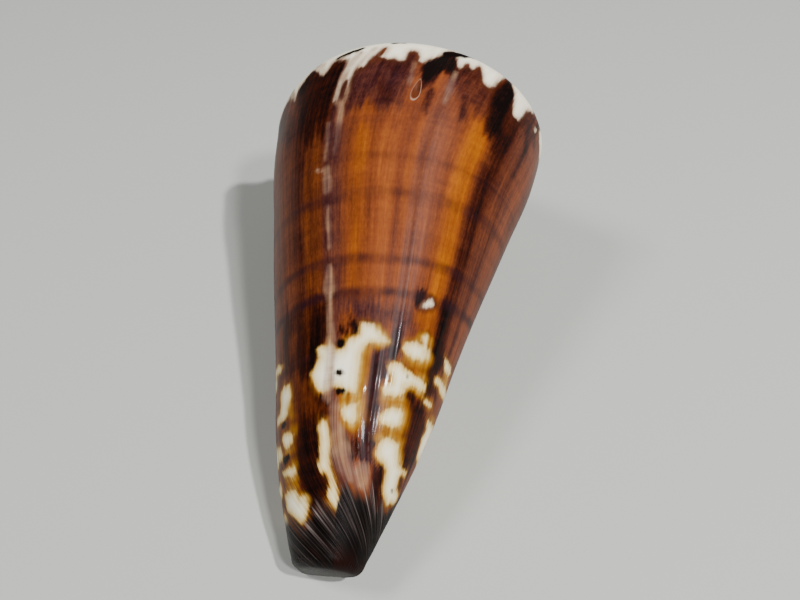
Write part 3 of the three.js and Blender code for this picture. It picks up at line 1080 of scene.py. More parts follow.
# Ochre rims, dark dots and pale streaks, laid over the whites
OVERLAYS = [
    *marks(
        Mark.OCHRE,
        (
            (0.3535, 55.8, 0.5), (0.3535, 58.0, 0.65), (0.352, 60.4, 0.5), (0.3555, 62.4, 0.6),
            (0.359, 64.4, 0.6),
        ),
        ((0.318, 62.6, 0.45), (0.334, 61.9, 0.3), (0.35, 61.8, 0.3)),
        ((0.325, 65.6, 0.3), (0.352, 65.4, 0.4)),
        ((0.366, 52.6, 0.3), (0.383, 54.0, 0.35), (0.366, 55.0, 0.3)),
        ((0.462, 53.6, 0.5), (0.476, 54.2, 0.6), (0.47, 55.6, 0.8), (0.446, 55.7, 0.3), (0.426, 55.6, 0.2)),
        ((0.462, 56.2, 0.4), (0.48, 56.8, 0.2)),
        ((0.443, 52.3, 0.25), (0.451, 51.6, 0.35), (0.467, 52.0, 0.45)),
        (
            (0.395, 61.6, 0.35), (0.42, 61.2, 0.35), (0.44, 60.9, 0.45), (0.455, 61.5, 0.6),
            (0.456, 64.0, 0.6), (0.46, 66.2, 0.45), (0.475, 67.6, 0.3),
        ),
        ((0.396, 65.8, 0.35), (0.41, 65.1, 0.35), (0.43, 64.9, 0.3), (0.45, 64.9, 0.5)),
        ((0.433, 58.8, 0.15), (0.448, 58.7, 0.2), (0.48, 59.0, 0.2)),
        ((0.197, 62.5, 0.35), (0.207, 63.2, 0.5), (0.213, 65.4, 0.6)),
        ((0.185, 68.6, 0.35), (0.206, 68.8, 0.6), (0.207, 70.2, 0.4)),
        ((0.172, 72.1, 0.35), (0.205, 72.1, 0.45)),
        ((0.22, 74.2, 0.3), (0.236, 74.2, 0.35)),
        ((0.54, 54.8, 0.25), (0.57, 54.8, 0.2)),
        ((0.54, 60.3, 0.2), (0.57, 60.2, 0.2)),
    ),
    *marks(
        Mark.DARK,
        ((0.3075, 55.1, 0.62),),
        ((0.305, 58.9, 0.32), (0.312, 58.9, 0.4)),
        ((0.311, 61.3, 0.38), (0.3175, 61.2, 0.36)),
        ((0.434, 57.6, 0.18),),
        ((0.415, 11.5, 0.5), (0.427, 10.7, 0.65), (0.436, 10.2, 0.45), (0.446, 9.8, 0.3)),
        ((0.296, 12.0, 0.3), (0.311, 11.45, 0.4), (0.326, 11.1, 0.3)),
        ((0.357, 10.3, 0.25), (0.37, 10.05, 0.25)),
        ((0.495, 9.6, 0.6), (0.51, 9.25, 0.35), (0.53, 9.3, 0.2)),
        ((0.552, 9.7, 0.5), (0.566, 10.1, 0.6), (0.577, 10.8, 0.4)),
        ((0.2, 8.2, 0.7), (0.235, 8.6, 0.5)),
        ((0.172, 64.9, 0.35), (0.184, 64.7, 0.3)),
        ((0.17, 69.4, 0.45), (0.185, 69.0, 0.35)),
        ((0.484, 71.2, 0.12), (0.49, 71.3, 0.12)),
    ),
    *marks(
        Mark.PALE,
        (
            (0.2985, 20.0, 0.5), (0.3035, 20.6, 0.5), (0.304, 22.0, 0.5), (0.3025, 23.5, 0.4),
            (0.2995, 25.5, 0.25), (0.296, 28.0, 0.15),
        ),
        ((0.312, 17.6, 0.3), (0.3105, 20.0, 0.25)),
        ((0.3035, 15.6, 0.05), (0.297, 19.6, 0.2)),
        ((0.288, 23.4, 0.2), (0.2865, 25.6, 0.3), (0.282, 28.6, 0.15)),
        ((0.2835, 30.5, 0.55), (0.284, 33.4, 0.6)),
        ((0.286, 36.0, 0.1), (0.285, 38.2, 0.3), (0.2865, 42.0, 0.1)),
        ((0.286, 45.0, 0.5), (0.286, 47.8, 0.75)),
        ((0.286, 48.6, 0.3), (0.2875, 52.4, 0.35), (0.2915, 54.6, 0.7), (0.2925, 62.0, 0.75)),
        ((0.268, 30.0, 0.1), (0.279, 30.6, 0.15)),
        ((0.4275, 14.2, 0.22), (0.423, 17.2, 0.38), (0.4195, 19.8, 0.15)),
        (
            (0.296, 62.4), (0.308, 62.2), (0.315, 63.4), (0.313, 64.8), (0.325, 65.6), (0.34, 67.5),
            (0.347, 69.0), (0.36, 70.4), (0.36, 71.6), (0.345, 71.8), (0.33, 71.0), (0.315, 70.2),
            (0.303, 69.0), (0.301, 66.5), (0.298, 64.6),
        ),
        (
            (0.354, 70.6), (0.365, 69.4), (0.385, 69.2), (0.395, 70.0), (0.402, 71.4), (0.395, 72.3),
            (0.375, 72.2),
        ),
        ((0.383, 14.2, 0.12), (0.3795, 17.8, 0.12)),
        ((0.214, 11.5, 0.8), (0.222, 13.6, 0.9), (0.229, 15.0, 0.3)),
        ((0.262, 10.6, 0.5), (0.275, 12.2, 0.7), (0.28, 13.8, 0.3)),
        ((0.325, 12.2, 0.4), (0.311, 14.2, 0.7), (0.306, 16.4, 0.5)),
        ((0.34, 11.6, 0.3), (0.327, 13.6, 0.35), (0.318, 14.9, 0.3)),
        ((0.3, 12.6, 0.2), (0.312, 11.4, 0.3)),
    ),
]

# The edge of the black front end: age and height
BASE_EDGE = (
    (0.0, 76.0), (0.15, 76.0), (0.19, 77.0), (0.22, 77.4), (0.245, 76.2), (0.27, 75.0), (0.3, 74.8),
    (0.322, 75.4), (0.33, 73.0), (0.345, 71.9), (0.37, 72.6), (0.4, 72.5), (0.415, 72.5), (0.43, 73.2),
    (0.45, 73.8), (0.465, 73.2), (0.49, 73.6), (0.51, 73.0), (0.545, 72.4), (0.56, 70.5), (0.6, 69.5),
    (0.64, 72.0), (0.7, 75.0), (1.0, 76.0),
)


@dataclass(frozen=True)
class HiddenMarks:
    """Seeded markings for the sides that the photograph doesn't show, and for the spire.

    A Range holds the ends of a random draw or of a stretch of ages. Ages, steps, curls and a cell's start,
    run and gap are in whorls, and heights and half widths in millimetres. The flames in the stretch that
    is seen start at their own height and are narrower.
    """

    seed: int = 41
    hidden: tuple[Range, ...] = ((0.0, 0.12), (0.62, 1.0))
    rows: tuple[float, ...] = (54.2, 58.3, 63.0, 66.8, 70.8)
    cell_start: Range = (-0.01, 0.02)
    cell_run: Range = (0.012, 0.05)
    cell_gap: Range = (0.018, 0.05)
    cell_half: Range = (0.8, 1.6)
    cell_taper: float = 0.8
    row_drop: float = 0.1
    rim_share: float = 0.6
    rim_gap: float = 0.5
    rim_half: Range = (0.3, 0.35)
    flames_per_whorl: int = 17
    flame_whorls: int = 6
    flame_shift: Range = (-0.32, 0.32)
    flame_half: Range = (0.5, 1.5)
    flame_below: Range = (0.5, 4.0)
    flame_curl: Range = (0.004, 0.014)
    flame_reach: Range = (0.25, 1.0)
    flame_ends: tuple[float, float] = (0.7, 0.35)
    seen: Range = (0.17, 0.6)
    seen_top: float = 8.4
    seen_width: float = 0.7
    edge_height: Range = (10.0, 15.5)
    edge_step: Range = (0.006, 0.018)
    edge_overlap: float = 0.01
    edge_ends: Range = (-0.02, 1.02)
    last_edge: float = 13.0
    past_apex: float = -6.0
    tone: Range = (0.3, 0.78)
    tint: Range = (-0.4, 0.6)
    tone_step: Range = (0.005, 0.016)

    def cells(self, random: np.random.Generator, lines: GrowthLines) -> list[Marking]:
        """Returns runs of white cells along the spiral rows of the pale zone.

        Args:
            random: the seeded numbers, drawn in order.
            lines: how the growth lines run.

        Returns:
            The markings.
        """
        made = []
        for band in self.rows:
            for start, end in self.hidden:
                age = start + random.uniform(*self.cell_start)
                while age < end:
                    run = random.uniform(*self.cell_run)
                    height = band / float(lines.band(np.array(age), np.array(1.0)))
                    half = random.uniform(*self.cell_half)
                    first = (age, height, half * self.cell_taper)
                    made += marks(Mark.WHITE, (first, (age + run, height - self.row_drop, half)))
                    if random.uniform() < self.rim_share:
                        rim = height + half + self.rim_gap
                        thin, wide = self.rim_half
                        made += marks(Mark.OCHRE, ((age, rim, thin), (age + run, rim - self.row_drop, wide)))
                    age += run + random.uniform(*self.cell_gap)
        return made

    def flames(self, random: np.random.Generator, law: GrowthLaw) -> list[Marking]:
        """Returns the dark flames that cross each whorl's ramp and the shoulder.

        Args:
            random: the seeded numbers, drawn in order.
            law: the smooth form.

        Returns:
            The markings.
        """
        made = []
        for count in range(self.flames_per_whorl * self.flame_whorls):
            age = (count + random.uniform(*self.flame_shift)) / self.flames_per_whorl
            size = float(law.growth(np.array(age)))
            outer = float(law.arc(np.array(age), 0.0)[1])
            inner = float(law.ramp(np.array(age), 1.0)[1])
            half = random.uniform(*self.flame_half) * size
            below = random.uniform(*self.flame_below) * size if age < 1.0 else 0.0
            if self.seen[0] < age < self.seen[1]:
                outer, below, half = self.seen_top, 0.0, half * self.seen_width
            curl = random.uniform(*self.flame_curl)
            reach = random.uniform(*self.flame_reach)
            low, high = self.flame_ends
            path = (
                (age - curl, outer + below, half * low),
                (age, lerp(outer, inner, 0.5), half),
                (age + curl * 2.0, lerp(outer, inner, reach), half * high),
            )
            made += marks(Mark.DARK, path)
        return made

    def shoulder(self, random: np.random.Generator) -> Marking:
        """Returns the white of the shoulder, whose lower edge is seeded where it can't be seen.

        Args:
            random: the seeded numbers, drawn in order.

        Returns:
            One patch.
        """
        sides = []
        for start, end in self.hidden:
            side = []
            age = start - self.edge_overlap
            while age < end:
                side.append((age, random.uniform(*self.edge_height)))
                age += random.uniform(*self.edge_step)
            sides.append(side)
        before, after = sides
        first, last = self.edge_ends
        corners = ((last, self.last_edge), (last, self.past_apex), (first, self.past_apex))
        return Marking(Mark.WHITE, (*before, *SHOULDER_EDGE, *after, *corners))

    def profile(self, random: np.random.Generator) -> Array:
        """Returns rows of line, tone and tint along the whole whorl, seeded where it can't be seen.

        Args:
            random: the seeded numbers, drawn in order.

        Returns:
            Three rows: lines in order, their tones and their tints.
        """
        rows = list(AXIAL_TONES_AND_SHEEN)
        for line, end in self.hidden:
            while line < end:
                rows.append((line, random.uniform(*self.tone), random.uniform(*self.tint)))
                line += random.uniform(*self.tone_step)
        return np.array(sorted(rows)).T

    def all(self, random: np.random.Generator, law: GrowthLaw, lines: GrowthLines) -> list[Marking]:
        """Returns every seeded marking, always in the same order."""
        return self.cells(random, lines) + self.flames(random, law) + [self.shoulder(random)]


@dataclass
class Painter:
    """Keeps the markings on the mesh, as depths in millimetres that the finish turns into colour."""

    form: ShellForm
    hidden: HiddenMarks = field(default_factory=HiddenMarks)
    fray: float = 0.6

    def paint(self, mesh: bpy.types.Mesh) -> None:
        """Writes the growth lines and the marks of each face corner to the mesh.

        Args:
            mesh: the finished mesh with its growth map.
        """
        corners = len(mesh.loops)
        flat = np.empty(corners * 2, dtype=np.float32)
        mesh.uv_layers[GROWTH_MAP].uv.foreach_get("vector", flat)
        age = flat[0::2].astype(float) * AGE_SCALE
        height = flat[1::2].astype(float) * HEIGHT_SCALE
        law, lines = self.form.law, self.form.lines
        girth = 2.0 * math.pi * np.maximum(law.radius(age, height), 1.0)
        line = lines.line(age, height)
        random = np.random.default_rng(self.hidden.seed)
        seeded = self.hidden.all(random, law, lines)
        known, *shades = self.hidden.profile(random)
        tone, tint = (np.interp(line, known, shade) for shade in shades)
        streaky = height + self.fray * self.form.relief.streaks(line)
        depth = {mark: np.full(corners, -FAR) for mark in Mark}
        everything = seeded + TONES + WHITES + OVERLAYS
        for marking in everything:
            reached = streaky if marking.mark is Mark.TONE else height
            near = marking.near(age, reached)
            found = marking.depth(age[near], reached[near], girth[near])
            if marking.mark is Mark.TONE:
                over = smoothstep(found, -marking.soft, marking.soft)
                tone[near] = lerp(tone[near], marking.tone, over)
                tint[near] = lerp(tint[near], marking.tint, over)
            else:
                depth[marking.mark][near] = np.maximum(depth[marking.mark][near], found)
        depth[Mark.WHITE] = np.where(age >= 1.0, FAR, np.minimum(depth[Mark.WHITE], FAR))
        base = height - np.interp(age, *np.array(BASE_EDGE).T)
        self.keep(mesh, "lines", line, lines.band(age, height), base)
        self.keep(mesh, "marks", depth[Mark.WHITE], depth[Mark.OCHRE], depth[Mark.DARK])
        self.keep(mesh, "shades", depth[Mark.PALE], tone, tint)
        LOG.info("painted %d markings on %d corners", len(everything), corners)

    def keep(self, mesh: bpy.types.Mesh, name: str, *parts: Array) -> None:
        """Stores three numbers for each face corner as one attribute."""
        made = mesh.attributes.new(name, "FLOAT_VECTOR", "CORNER")
        made.data.foreach_set("vector", np.stack(parts, axis=-1).astype(np.float32).ravel())


class Value:
    """One output of a shader's nodes, on which sums and products add Math nodes."""

    def __init__(self, graph: "Graph", socket: Socket) -> None:
        """Wraps an output socket of a graph."""
        self.graph = graph
        self.socket = socket

    def __add__(self, other: "Value | float") -> "Value":
        """Returns the sum."""
        return self.graph.maths("ADD", self, other)

    def __sub__(self, other: "Value | float") -> "Value":
        """Returns the difference."""
        return self.graph.maths("SUBTRACT", self, other)

    def __rsub__(self, other: float) -> "Value":
        """Returns a number less this value."""
        return self.graph.maths("SUBTRACT", other, self)

    def __mul__(self, other: "Value | float") -> "Value":
        """Returns the product."""
        return self.graph.maths("MULTIPLY", self, other)

    def __truediv__(self, other: "Value | float") -> "Value":
        """Returns the quotient."""
        return self.graph.maths("DIVIDE", self, other)

    __radd__ = __add__
    __rmul__ = __mul__

    def size(self) -> "Value":
        """Returns the value without its sign."""
        return self.graph.maths("ABSOLUTE", self)

    def rise(self, low: float, high: float) -> "Value":
        """Returns 0 below low, 1 above high and a smooth rise between.

        Args:
            low: where the rise starts.
            high: where it ends.

        Returns:
            The rise, from 0 to 1.
        """
        settings = {"interpolation_type": "SMOOTHSTEP"}
        inputs = {"Value": self, "From Min": low, "From Max": high}
        return Value(self.graph, self.graph.node("ShaderNodeMapRange", settings, inputs).outputs["Result"])


@dataclass(frozen=True)
class Grain:
    """A kind of noise: its pace along the whorl and across it, its own layer, and its finer detail."""

    per_whorl: float
    per_mm: float
    layer: float
    detail: float = 2.0
    rough: float = 0.55


@dataclass(frozen=True)
class Gloss:
    """The values of a glossy finish that are the same all over it."""

    specular: float = 0.06
    coat: float = 0.07
    coat_roughness: float = 0.07
    coat_ior: float = 1.4


class Graph:
    """The nodes of one material."""

    def __init__(self, name: str) -> None:
        """Makes an empty material.

        Args:
            name: the material's name.
        """
        self.material = bpy.data.materials.new(name)
        self.material.use_nodes = True
        self.tree = self.material.node_tree
        self.tree.nodes.clear()

    def node(self, kind: str, settings: dict, inputs: dict) -> bpy.types.Node:
        """Adds a node.

        Args:
            kind: the node's type.
            settings: its properties, set first. The key stops holds a colour ramp's stops.
            inputs: a value or a link for each socket, by name or by number.

        Returns:
            The node.
        """
        node = self.tree.nodes.new(kind)
        for name, setting in settings.items():
            if name == "stops":
                self.set_stops(node, setting)
            else:
                setattr(node, name, setting)
        for name, value in inputs.items():
            if isinstance(value, Value):
                self.tree.links.new(value.socket, node.inputs[name])
            else:
                node.inputs[name].default_value = value
        return node

    def set_stops(self, node: bpy.types.Node, stops: Stops) -> None:
        """Gives a colour ramp its stops, each a place from 0 to 1 and a screen colour.

        Args:
            node: the colour ramp.
            stops: the places and colours, in order.
        """
        elements = node.color_ramp.elements
        while len(elements) < len(stops):
            elements.new(1.0)
        for element, (place, code) in zip(elements, stops):
            element.position = place
            element.color = srgb(code)

    def maths(self, operation: str, *values: "Value | float") -> Value:
        """Adds a Math node and returns its result."""
        node = self.node("ShaderNodeMath", {"operation": operation}, dict(enumerate(values)))
        return Value(self, node.outputs[0])

    def read(self, name: str) -> list[Value]:
        """Returns the three numbers of an attribute of the mesh.

        Args:
            name: the attribute's name.

        Returns:
            The numbers in order.
        """
        found = self.node("ShaderNodeAttribute", {"attribute_name": name}, {})
        split = self.node("ShaderNodeSeparateXYZ", {}, {"Vector": Value(self, found.outputs["Vector"])})
        return [Value(self, output) for output in split.outputs]

    def growth(self) -> tuple[Value, Value]:
        """Reads the growth map.

        Returns:
            The age in whorls and the height in millimetres.
        """
        found = self.node("ShaderNodeUVMap", {"uv_map": GROWTH_MAP}, {})
        split = self.node("ShaderNodeSeparateXYZ", {}, {"Vector": Value(self, found.outputs["UV"])})
        return Value(self, split.outputs["X"]) * AGE_SCALE, Value(self, split.outputs["Y"]) * HEIGHT_SCALE

    def noise(self, line: Value, band: Value, grain: Grain) -> Value:
        """Returns cloudy noise of a grain about 0, from about -1 to 1.

        Args:
            line: the growth line, in whorls.
            band: the band height, in millimetres.
            grain: the kind of noise.

        Returns:
            The noise.
        """
        place = {"X": line * grain.per_whorl, "Y": band * grain.per_mm, "Z": grain.layer}
        vector = Value(self, self.node("ShaderNodeCombineXYZ", {}, place).outputs[0])
        inputs = {"Vector": vector, "Scale": 1.0, "Detail": grain.detail, "Roughness": grain.rough}
        made = self.node("ShaderNodeTexNoise", {}, inputs)
        return (Value(self, made.outputs["Fac"]) - 0.5) * NOISE_GAIN

    def length(self, x: Value, y: Value) -> Value:
        """Returns the length of the two values as a flat vector."""
        return self.maths("SQRT", x * x + y * y)

    def ramp(self, factor: Value, stops: Stops) -> Value:
        """Returns the colour at a place from 0 to 1 along a ramp of screen colours."""
        made = self.node("ShaderNodeValToRGB", {"stops": stops}, {"Fac": factor})
        return Value(self, made.outputs["Color"])

    def mix(self, factor: "Value | float", base: "Value | Colour", top: "Value | Colour") -> Value:
        """Returns base with a part of top laid over it.

        Args:
            factor: the part, from 0 to 1.
            base: the colour below.
            top: the colour laid over it.

        Returns:
            The mixed colour.
        """
        settings = {"data_type": "RGBA", "clamp_factor": True}
        made = self.node("ShaderNodeMix", settings, {0: factor, 6: base, 7: top})
        return Value(self, made.outputs[2])

    def finish(self, colour: Value, rough: Value, bump: Value, gloss: Gloss) -> bpy.types.Material:
        """Ends the material in one Principled shader.

        Args:
            colour: the base colour.
            rough: the roughness.
            bump: the height of the fine relief, in metres.
            gloss: the values that are the same all over the surface.

        Returns:
            The finished material.
        """
        raised = self.node("ShaderNodeBump", {}, {"Height": bump, "Distance": 1.0, "Strength": 1.0})
        inputs = {
            "Base Color": colour,
            "Roughness": rough,
            "Normal": Value(self, raised.outputs["Normal"]),
            "Specular IOR Level": gloss.specular,
            "Coat Weight": gloss.coat,
            "Coat Roughness": gloss.coat_roughness,
            "Coat IOR": gloss.coat_ior,
        }
        surface = self.node("ShaderNodeBsdfPrincipled", {}, inputs)
        self.node("ShaderNodeOutputMaterial", {}, {"Surface": Value(self, surface.outputs[0])})
        return self.material


class Noise(Enum):
    """The noises of the outside, each on its own layer."""

    BROAD = Grain(26.0, 0.03, 1.0)
    MEDIUM = Grain(75.0, 0.05, 2.0)
    FINE = Grain(260.0, 0.12, 3.0)
    CLOUD = Grain(14.0, 0.22, 4.0)
    JAG = Grain(95.0, 0.55, 5.0, 3.0, 0.6)
    TOOTH = Grain(150.0, 0.08, 6.0, 1.0)
    CROSS = Grain(5.0, 0.9, 7.0)
    SWEEP = Grain(90.0, 0.02, 9.0)
    THREADS = Grain(100.0, 0.05, 10.0, 3.0, 0.6)
    WORN = Grain(340.0, 0.35, 11.0, 3.0, 0.7)
    RAISED = Grain(420.0, 0.05, 12.0)
    GRIT = Grain(60.0, 2.6, 13.0, 3.0)
    WEAVE = Grain(330.0, 1.2, 15.0, 3.0, 0.7)
    PATCHES = Grain(16.0, 0.12, 16.0)


Amounts = tuple[tuple[Noise, float], ...]


@dataclass(frozen=True)
class Place:
    """What the nodes know of a place on the outside.

    Lines and ages are in whorls, and bands and heights in millimetres. White, ochre, dark and pale are
    the depths in those markings, and base is the depth past the edge of the front end.
    """

    line: Value
    band: Value
    base: Value
    white: Value
    ochre: Value
    dark: Value
    pale: Value
    tone: Value
    tint: Value
    age: Value
    height: Value
    noises: dict[Noise, Value]

    @classmethod
    def read(cls, graph: Graph) -> "Place":
        """Reads the mesh's attributes and makes the noises.

        Args:
            graph: the material's nodes.

        Returns:
            The place.
        """
        line, band, base = graph.read("lines")
        marked = (*graph.read("marks"), *graph.read("shades"), *graph.growth())
        noises = {noise: graph.noise(line, band, noise.value) for noise in Noise}
        return cls(line, band, base, *marked, noises)

    def blend(self, amounts: Amounts) -> Value:
        """Returns the sum of noises, each times its amount."""
        return sum(self.noises[noise] * amount for noise, amount in amounts)


@dataclass(frozen=True)
class SpiralBand:
    """A thin dark line round the whorl, at a band height, in millimetres."""

    at: float
    half: float
    strength: float

    @property
    def patches(self) -> Grain:
        """The noise that breaks the line into patches."""
        return Grain(per_whorl=46.0, per_mm=0.3, layer=self.at)


@dataclass(frozen=True)
class BodyBrown:
    """The brown with its streaks, and the thin dark lines round it."""

    uneven: Amounts = (
        (Noise.BROAD, 0.03), (Noise.MEDIUM, 0.12), (Noise.FINE, 0.095), (Noise.CLOUD, 0.07),
        (Noise.CROSS, 0.05), (Noise.WEAVE, 0.1),
    )
    uneven_top: float = 1.7
    tint_noise: Amounts = ((Noise.CLOUD, 0.2), (Noise.MEDIUM, 0.15))
    plain: Stops = (
        (0.0, "0b0504"), (0.12, "1b0906"), (0.25, "2e0e05"), (0.38, "401a0e"), (0.52, "552815"),
        (0.66, "69331a"), (0.8, "7a3f1e"), (1.0, "9c5522"),
    )
    amber: Stops = (
        (0.0, "0d0604"), (0.25, "321103"), (0.45, "4e2205"), (0.7, "793b07"), (0.85, "904d07"),
        (1.0, "a96615"),
    )
    mauve: Stops = ((0.0, "0c0507"), (0.3, "2a151b"), (0.5, "4b2b26"), (0.65, "633a2a"), (0.9, "8f5a42"))
    bands: tuple[SpiralBand, ...] = (
        SpiralBand(47.6, 0.8, 0.95),
        SpiralBand(43.0, 0.75, 0.75),
        SpiralBand(33.9, 0.9, 0.6),
        SpiralBand(28.6, 0.7, 0.3),
        SpiralBand(54.9, 0.5, 0.3),
    )
    band_wander: Amounts = ((Noise.CLOUD, 0.3), (Noise.MEDIUM, 0.1))
    band_edge: Range = (-0.5, 0.9)
    band_cover: float = 0.65
    band_cloud: Amounts = ((Noise.CLOUD, 0.3),)
    band_patches: float = 0.5
    band_colour: str = "200c12"

    def paint(self, graph: Graph, at: Place) -> Value:
        """Returns the brown at its tone, drawn to amber or to mauve by its tint.

        Args:
            graph: the material's nodes.
            at: the place.

        Returns:
            The colour.
        """
        shade = at.tone + at.blend(self.uneven) * (self.uneven_top - at.tone)
        tint = at.tint + at.blend(self.tint_noise)
        warm = graph.mix(tint, graph.ramp(shade, self.plain), graph.ramp(shade, self.amber))
        colour = graph.mix(0.0 - tint, warm, graph.ramp(shade, self.mauve))
        wandering = at.band + at.blend(self.band_wander)
        cloudy = at.blend(self.band_cloud) + self.band_cover
        for spiral in self.bands:
            off = (wandering - spiral.at).size() / spiral.half
            patchy = cloudy + graph.noise(at.line, at.band, spiral.patches) * self.band_patches
            cover = (1.0 - off).rise(*self.band_edge) * patchy * spiral.strength
            colour = graph.mix(cover, colour, srgb(self.band_colour))
        return colour


@dataclass(frozen=True)
class MarkPaint:
    """The markings over the brown: white with rust round it, ochre, pale streaks and dark flames.

    The shoulder's white is chalky, and the cells below it are cream.
    """

    cream_from: Range = (50.0, 54.0)
    white_ragged: Amounts = ((Noise.JAG, 0.2), (Noise.TOOTH, 0.16), (Noise.FINE, 0.1))
    white_edge: Range = (-0.26, 0.2)
    fringe_edge: Range = (-0.95, -0.1)
    fringe_tone: Range = (0.12, 0.42)
    fringe_cover: float = 0.65
    rust_noise: Amounts = ((Noise.MEDIUM, 1.0), (Noise.CLOUD, 1.0))
    rust_edge: Range = (-1.0, 0.8)
    rusts: tuple[str, str] = ("38190b", "85520c")
    fading: float = 0.8
    cream_fading: float = 0.25
    fading_noise: Amounts = ((Noise.FINE, 0.06), (Noise.CLOUD, 0.06))
    chalks: Stops = ((0.0, "6a5142"), (0.16, "a08c78"), (0.45, "d6cab2"), (0.9, "ebe3cc"))
    creams: Stops = ((0.0, "96702e"), (0.16, "c8ab6c"), (0.45, "ddd0a9"), (0.9, "ebe3cc"))
    smudge_noise: Amounts = ((Noise.MEDIUM, 1.0), (Noise.CLOUD, 1.0), (Noise.FINE, 0.6))
    smudge_edge: Range = (0.1, 1.9)
    smudge_cover: float = 0.5
    smudge_colour: str = "9c8a76"
    gold_ragged: Amounts = ((Noise.JAG, 0.2), (Noise.TOOTH, 0.16), (Noise.CLOUD, 0.15))
    gold_edge: Range = (-0.75, 0.45)
    gold_cover: float = 0.92
    gold_middle: float = 0.8
    gold_whiteness: float = 0.5
    gold_noise: Amounts = ((Noise.MEDIUM, 0.2), (Noise.CLOUD, 0.12))
    golds: Stops = ((0.0, "45200a"), (0.3, "6b3d0a"), (0.6, "8f6010"), (0.85, "b08f45"), (1.0, "cdb888"))
    pale_ragged: Amounts = ((Noise.JAG, 0.24), (Noise.TOOTH, 0.192))
    pale_edge: Range = (-0.5, 0.4)
    pale_cover: float = 0.75
    pale_holes: Amounts = ((Noise.FINE, 0.3), (Noise.CROSS, 0.3))
    grey_middle: float = 0.53
    grey_noise: Amounts = ((Noise.MEDIUM, 0.3), (Noise.CLOUD, 0.3), (Noise.FINE, 0.14))
    grey_whiteness: float = 0.25
    grey_white_edge: Range = (0.0, 0.6)
    greys: Stops = ((0.1, "37222a"), (0.45, "6b4d41"), (0.7, "8c6b50"), (1.0, "b8a48a"))
    flame_ragged: Amounts = ((Noise.JAG, 0.2), (Noise.TOOTH, 0.16))
    flame_edge: Range = (-0.3, 0.2)
    flame_noise: Amounts = ((Noise.MEDIUM, 1.0), (Noise.FINE, 1.0))
    flame_lights: Range = (0.2, 1.6)
    flames: tuple[str, str] = ("0d0605", "1e0c08")

    def whites(self, graph: Graph, at: Place, white: Value, colour: Value) -> Value:
        """Lays the white and its rusty fringe over the colour.

        Args:
            graph: the material's nodes.
            at: the place.
            white: the depth in the white, with a ragged edge.
            colour: the colour so far.

        Returns:
            The colour.
        """
        cream = at.height.rise(*self.cream_from)
        fringe = white.rise(*self.fringe_edge) * at.tone.rise(*self.fringe_tone)
        golden = cream * at.blend(self.rust_noise).rise(*self.rust_edge)
        rust = graph.mix(golden, *map(srgb, self.rusts))
        colour = graph.mix(fringe * self.fringe_cover, colour, rust)
        fading = white * (self.fading - cream * self.cream_fading) + at.blend(self.fading_noise)
        whites = graph.mix(cream, graph.ramp(fading, self.chalks), graph.ramp(fading, self.creams))
        smudge = at.blend(self.smudge_noise).rise(*self.smudge_edge) * self.smudge_cover
        whites = graph.mix(smudge, whites, srgb(self.smudge_colour))
        return graph.mix(white.rise(*self.white_edge), colour, whites)

    def paint(self, graph: Graph, at: Place, colour: Value) -> Value:
        """Lays every marking over the colour.

        Args:
            graph: the material's nodes.
            at: the place.
            colour: the colour so far.

        Returns:
            The colour.
        """
        white = at.white + at.blend(self.white_ragged)
        colour = self.whites(graph, at, white, colour)
        golden = (at.ochre + at.blend(self.gold_ragged)).rise(*self.gold_edge) * self.gold_cover
        goldness = white * self.gold_whiteness + at.blend(self.gold_noise) + self.gold_middle
        colour = graph.mix(golden, colour, graph.ramp(goldness, self.golds))
        veil = (at.pale + at.blend(self.pale_ragged)).rise(*self.pale_edge)
        veil = veil * (at.blend(self.pale_holes) + self.pale_cover)
        whiteness = white.rise(*self.grey_white_edge) * self.grey_whiteness
        greyness = at.blend(self.grey_noise) + self.grey_middle + whiteness
        colour = graph.mix(veil, colour, graph.ramp(greyness, self.greys))
        lighter = at.blend(self.flame_noise).rise(*self.flame_lights)
        flames = graph.mix(lighter, *map(srgb, self.flames))
        return graph.mix((at.dark + at.blend(self.flame_ragged)).rise(*self.flame_edge), colour, flames)


@dataclass(frozen=True)
class FrontPaint:
    """The black front end, with light threads along the growth lines. Depths are in millimetres."""

    uneven: Amounts = ((Noise.BROAD, 0.4),)
    ragged: Amounts = ((Noise.SWEEP, 0.8), (Noise.THREADS, 0.7))
    edge: Range = (-1.2, 1.1)
    lightness: float = 0.4
    thread_light: Amounts = ((Noise.THREADS, 0.8),)
    rim_depth: Range = (0.0, 3.0)
    rim_light: float = 0.12
    fade_depth: Range = (4.0, 8.0)
    fade: float = 0.5
    stain_patches: Range = (0.1, 1.2)
    stain_cover: float = 0.65
    tip_depth: Range = (5.5, 8.0)
    tip_stain: float = 0.4
    stain_colour: str = "240d08"
    blacks: Stops = ((0.0, "040302"), (0.38, "0b0807"), (0.6, "261f1d"), (0.8, "4c4340"), (1.0, "857a72"))

    def depth(self, at: Place) -> Value:
        """Returns the depth past an uneven edge."""
        return at.base + at.blend(self.uneven)

    def cover(self, at: Place) -> Value:
        """Returns how much of the front end covers each place."""
        return (self.depth(at) + at.blend(self.ragged)).rise(*self.edge)

    def paint(self, graph: Graph, at: Place, colour: Value) -> Value:
        """Lays the black over the colour.

        Args:
            graph: the material's nodes.
            at: the place.
            colour: the colour so far.

        Returns:
            The colour.
        """
        depth = self.depth(at)
        rim = (1.0 - depth.rise(*self.rim_depth)) * self.rim_light
        fade = 1.0 - depth.rise(*self.fade_depth) * self.fade
        light = (at.blend(self.thread_light) + self.lightness + rim) * fade
        stain = at.noises[Noise.PATCHES].rise(*self.stain_patches) * self.stain_cover
        stain = stain + depth.rise(*self.tip_depth) * self.tip_stain
        blacks = graph.mix(stain, graph.ramp(light, self.blacks), srgb(self.stain_colour))
        return graph.mix(self.cover(at), colour, blacks)


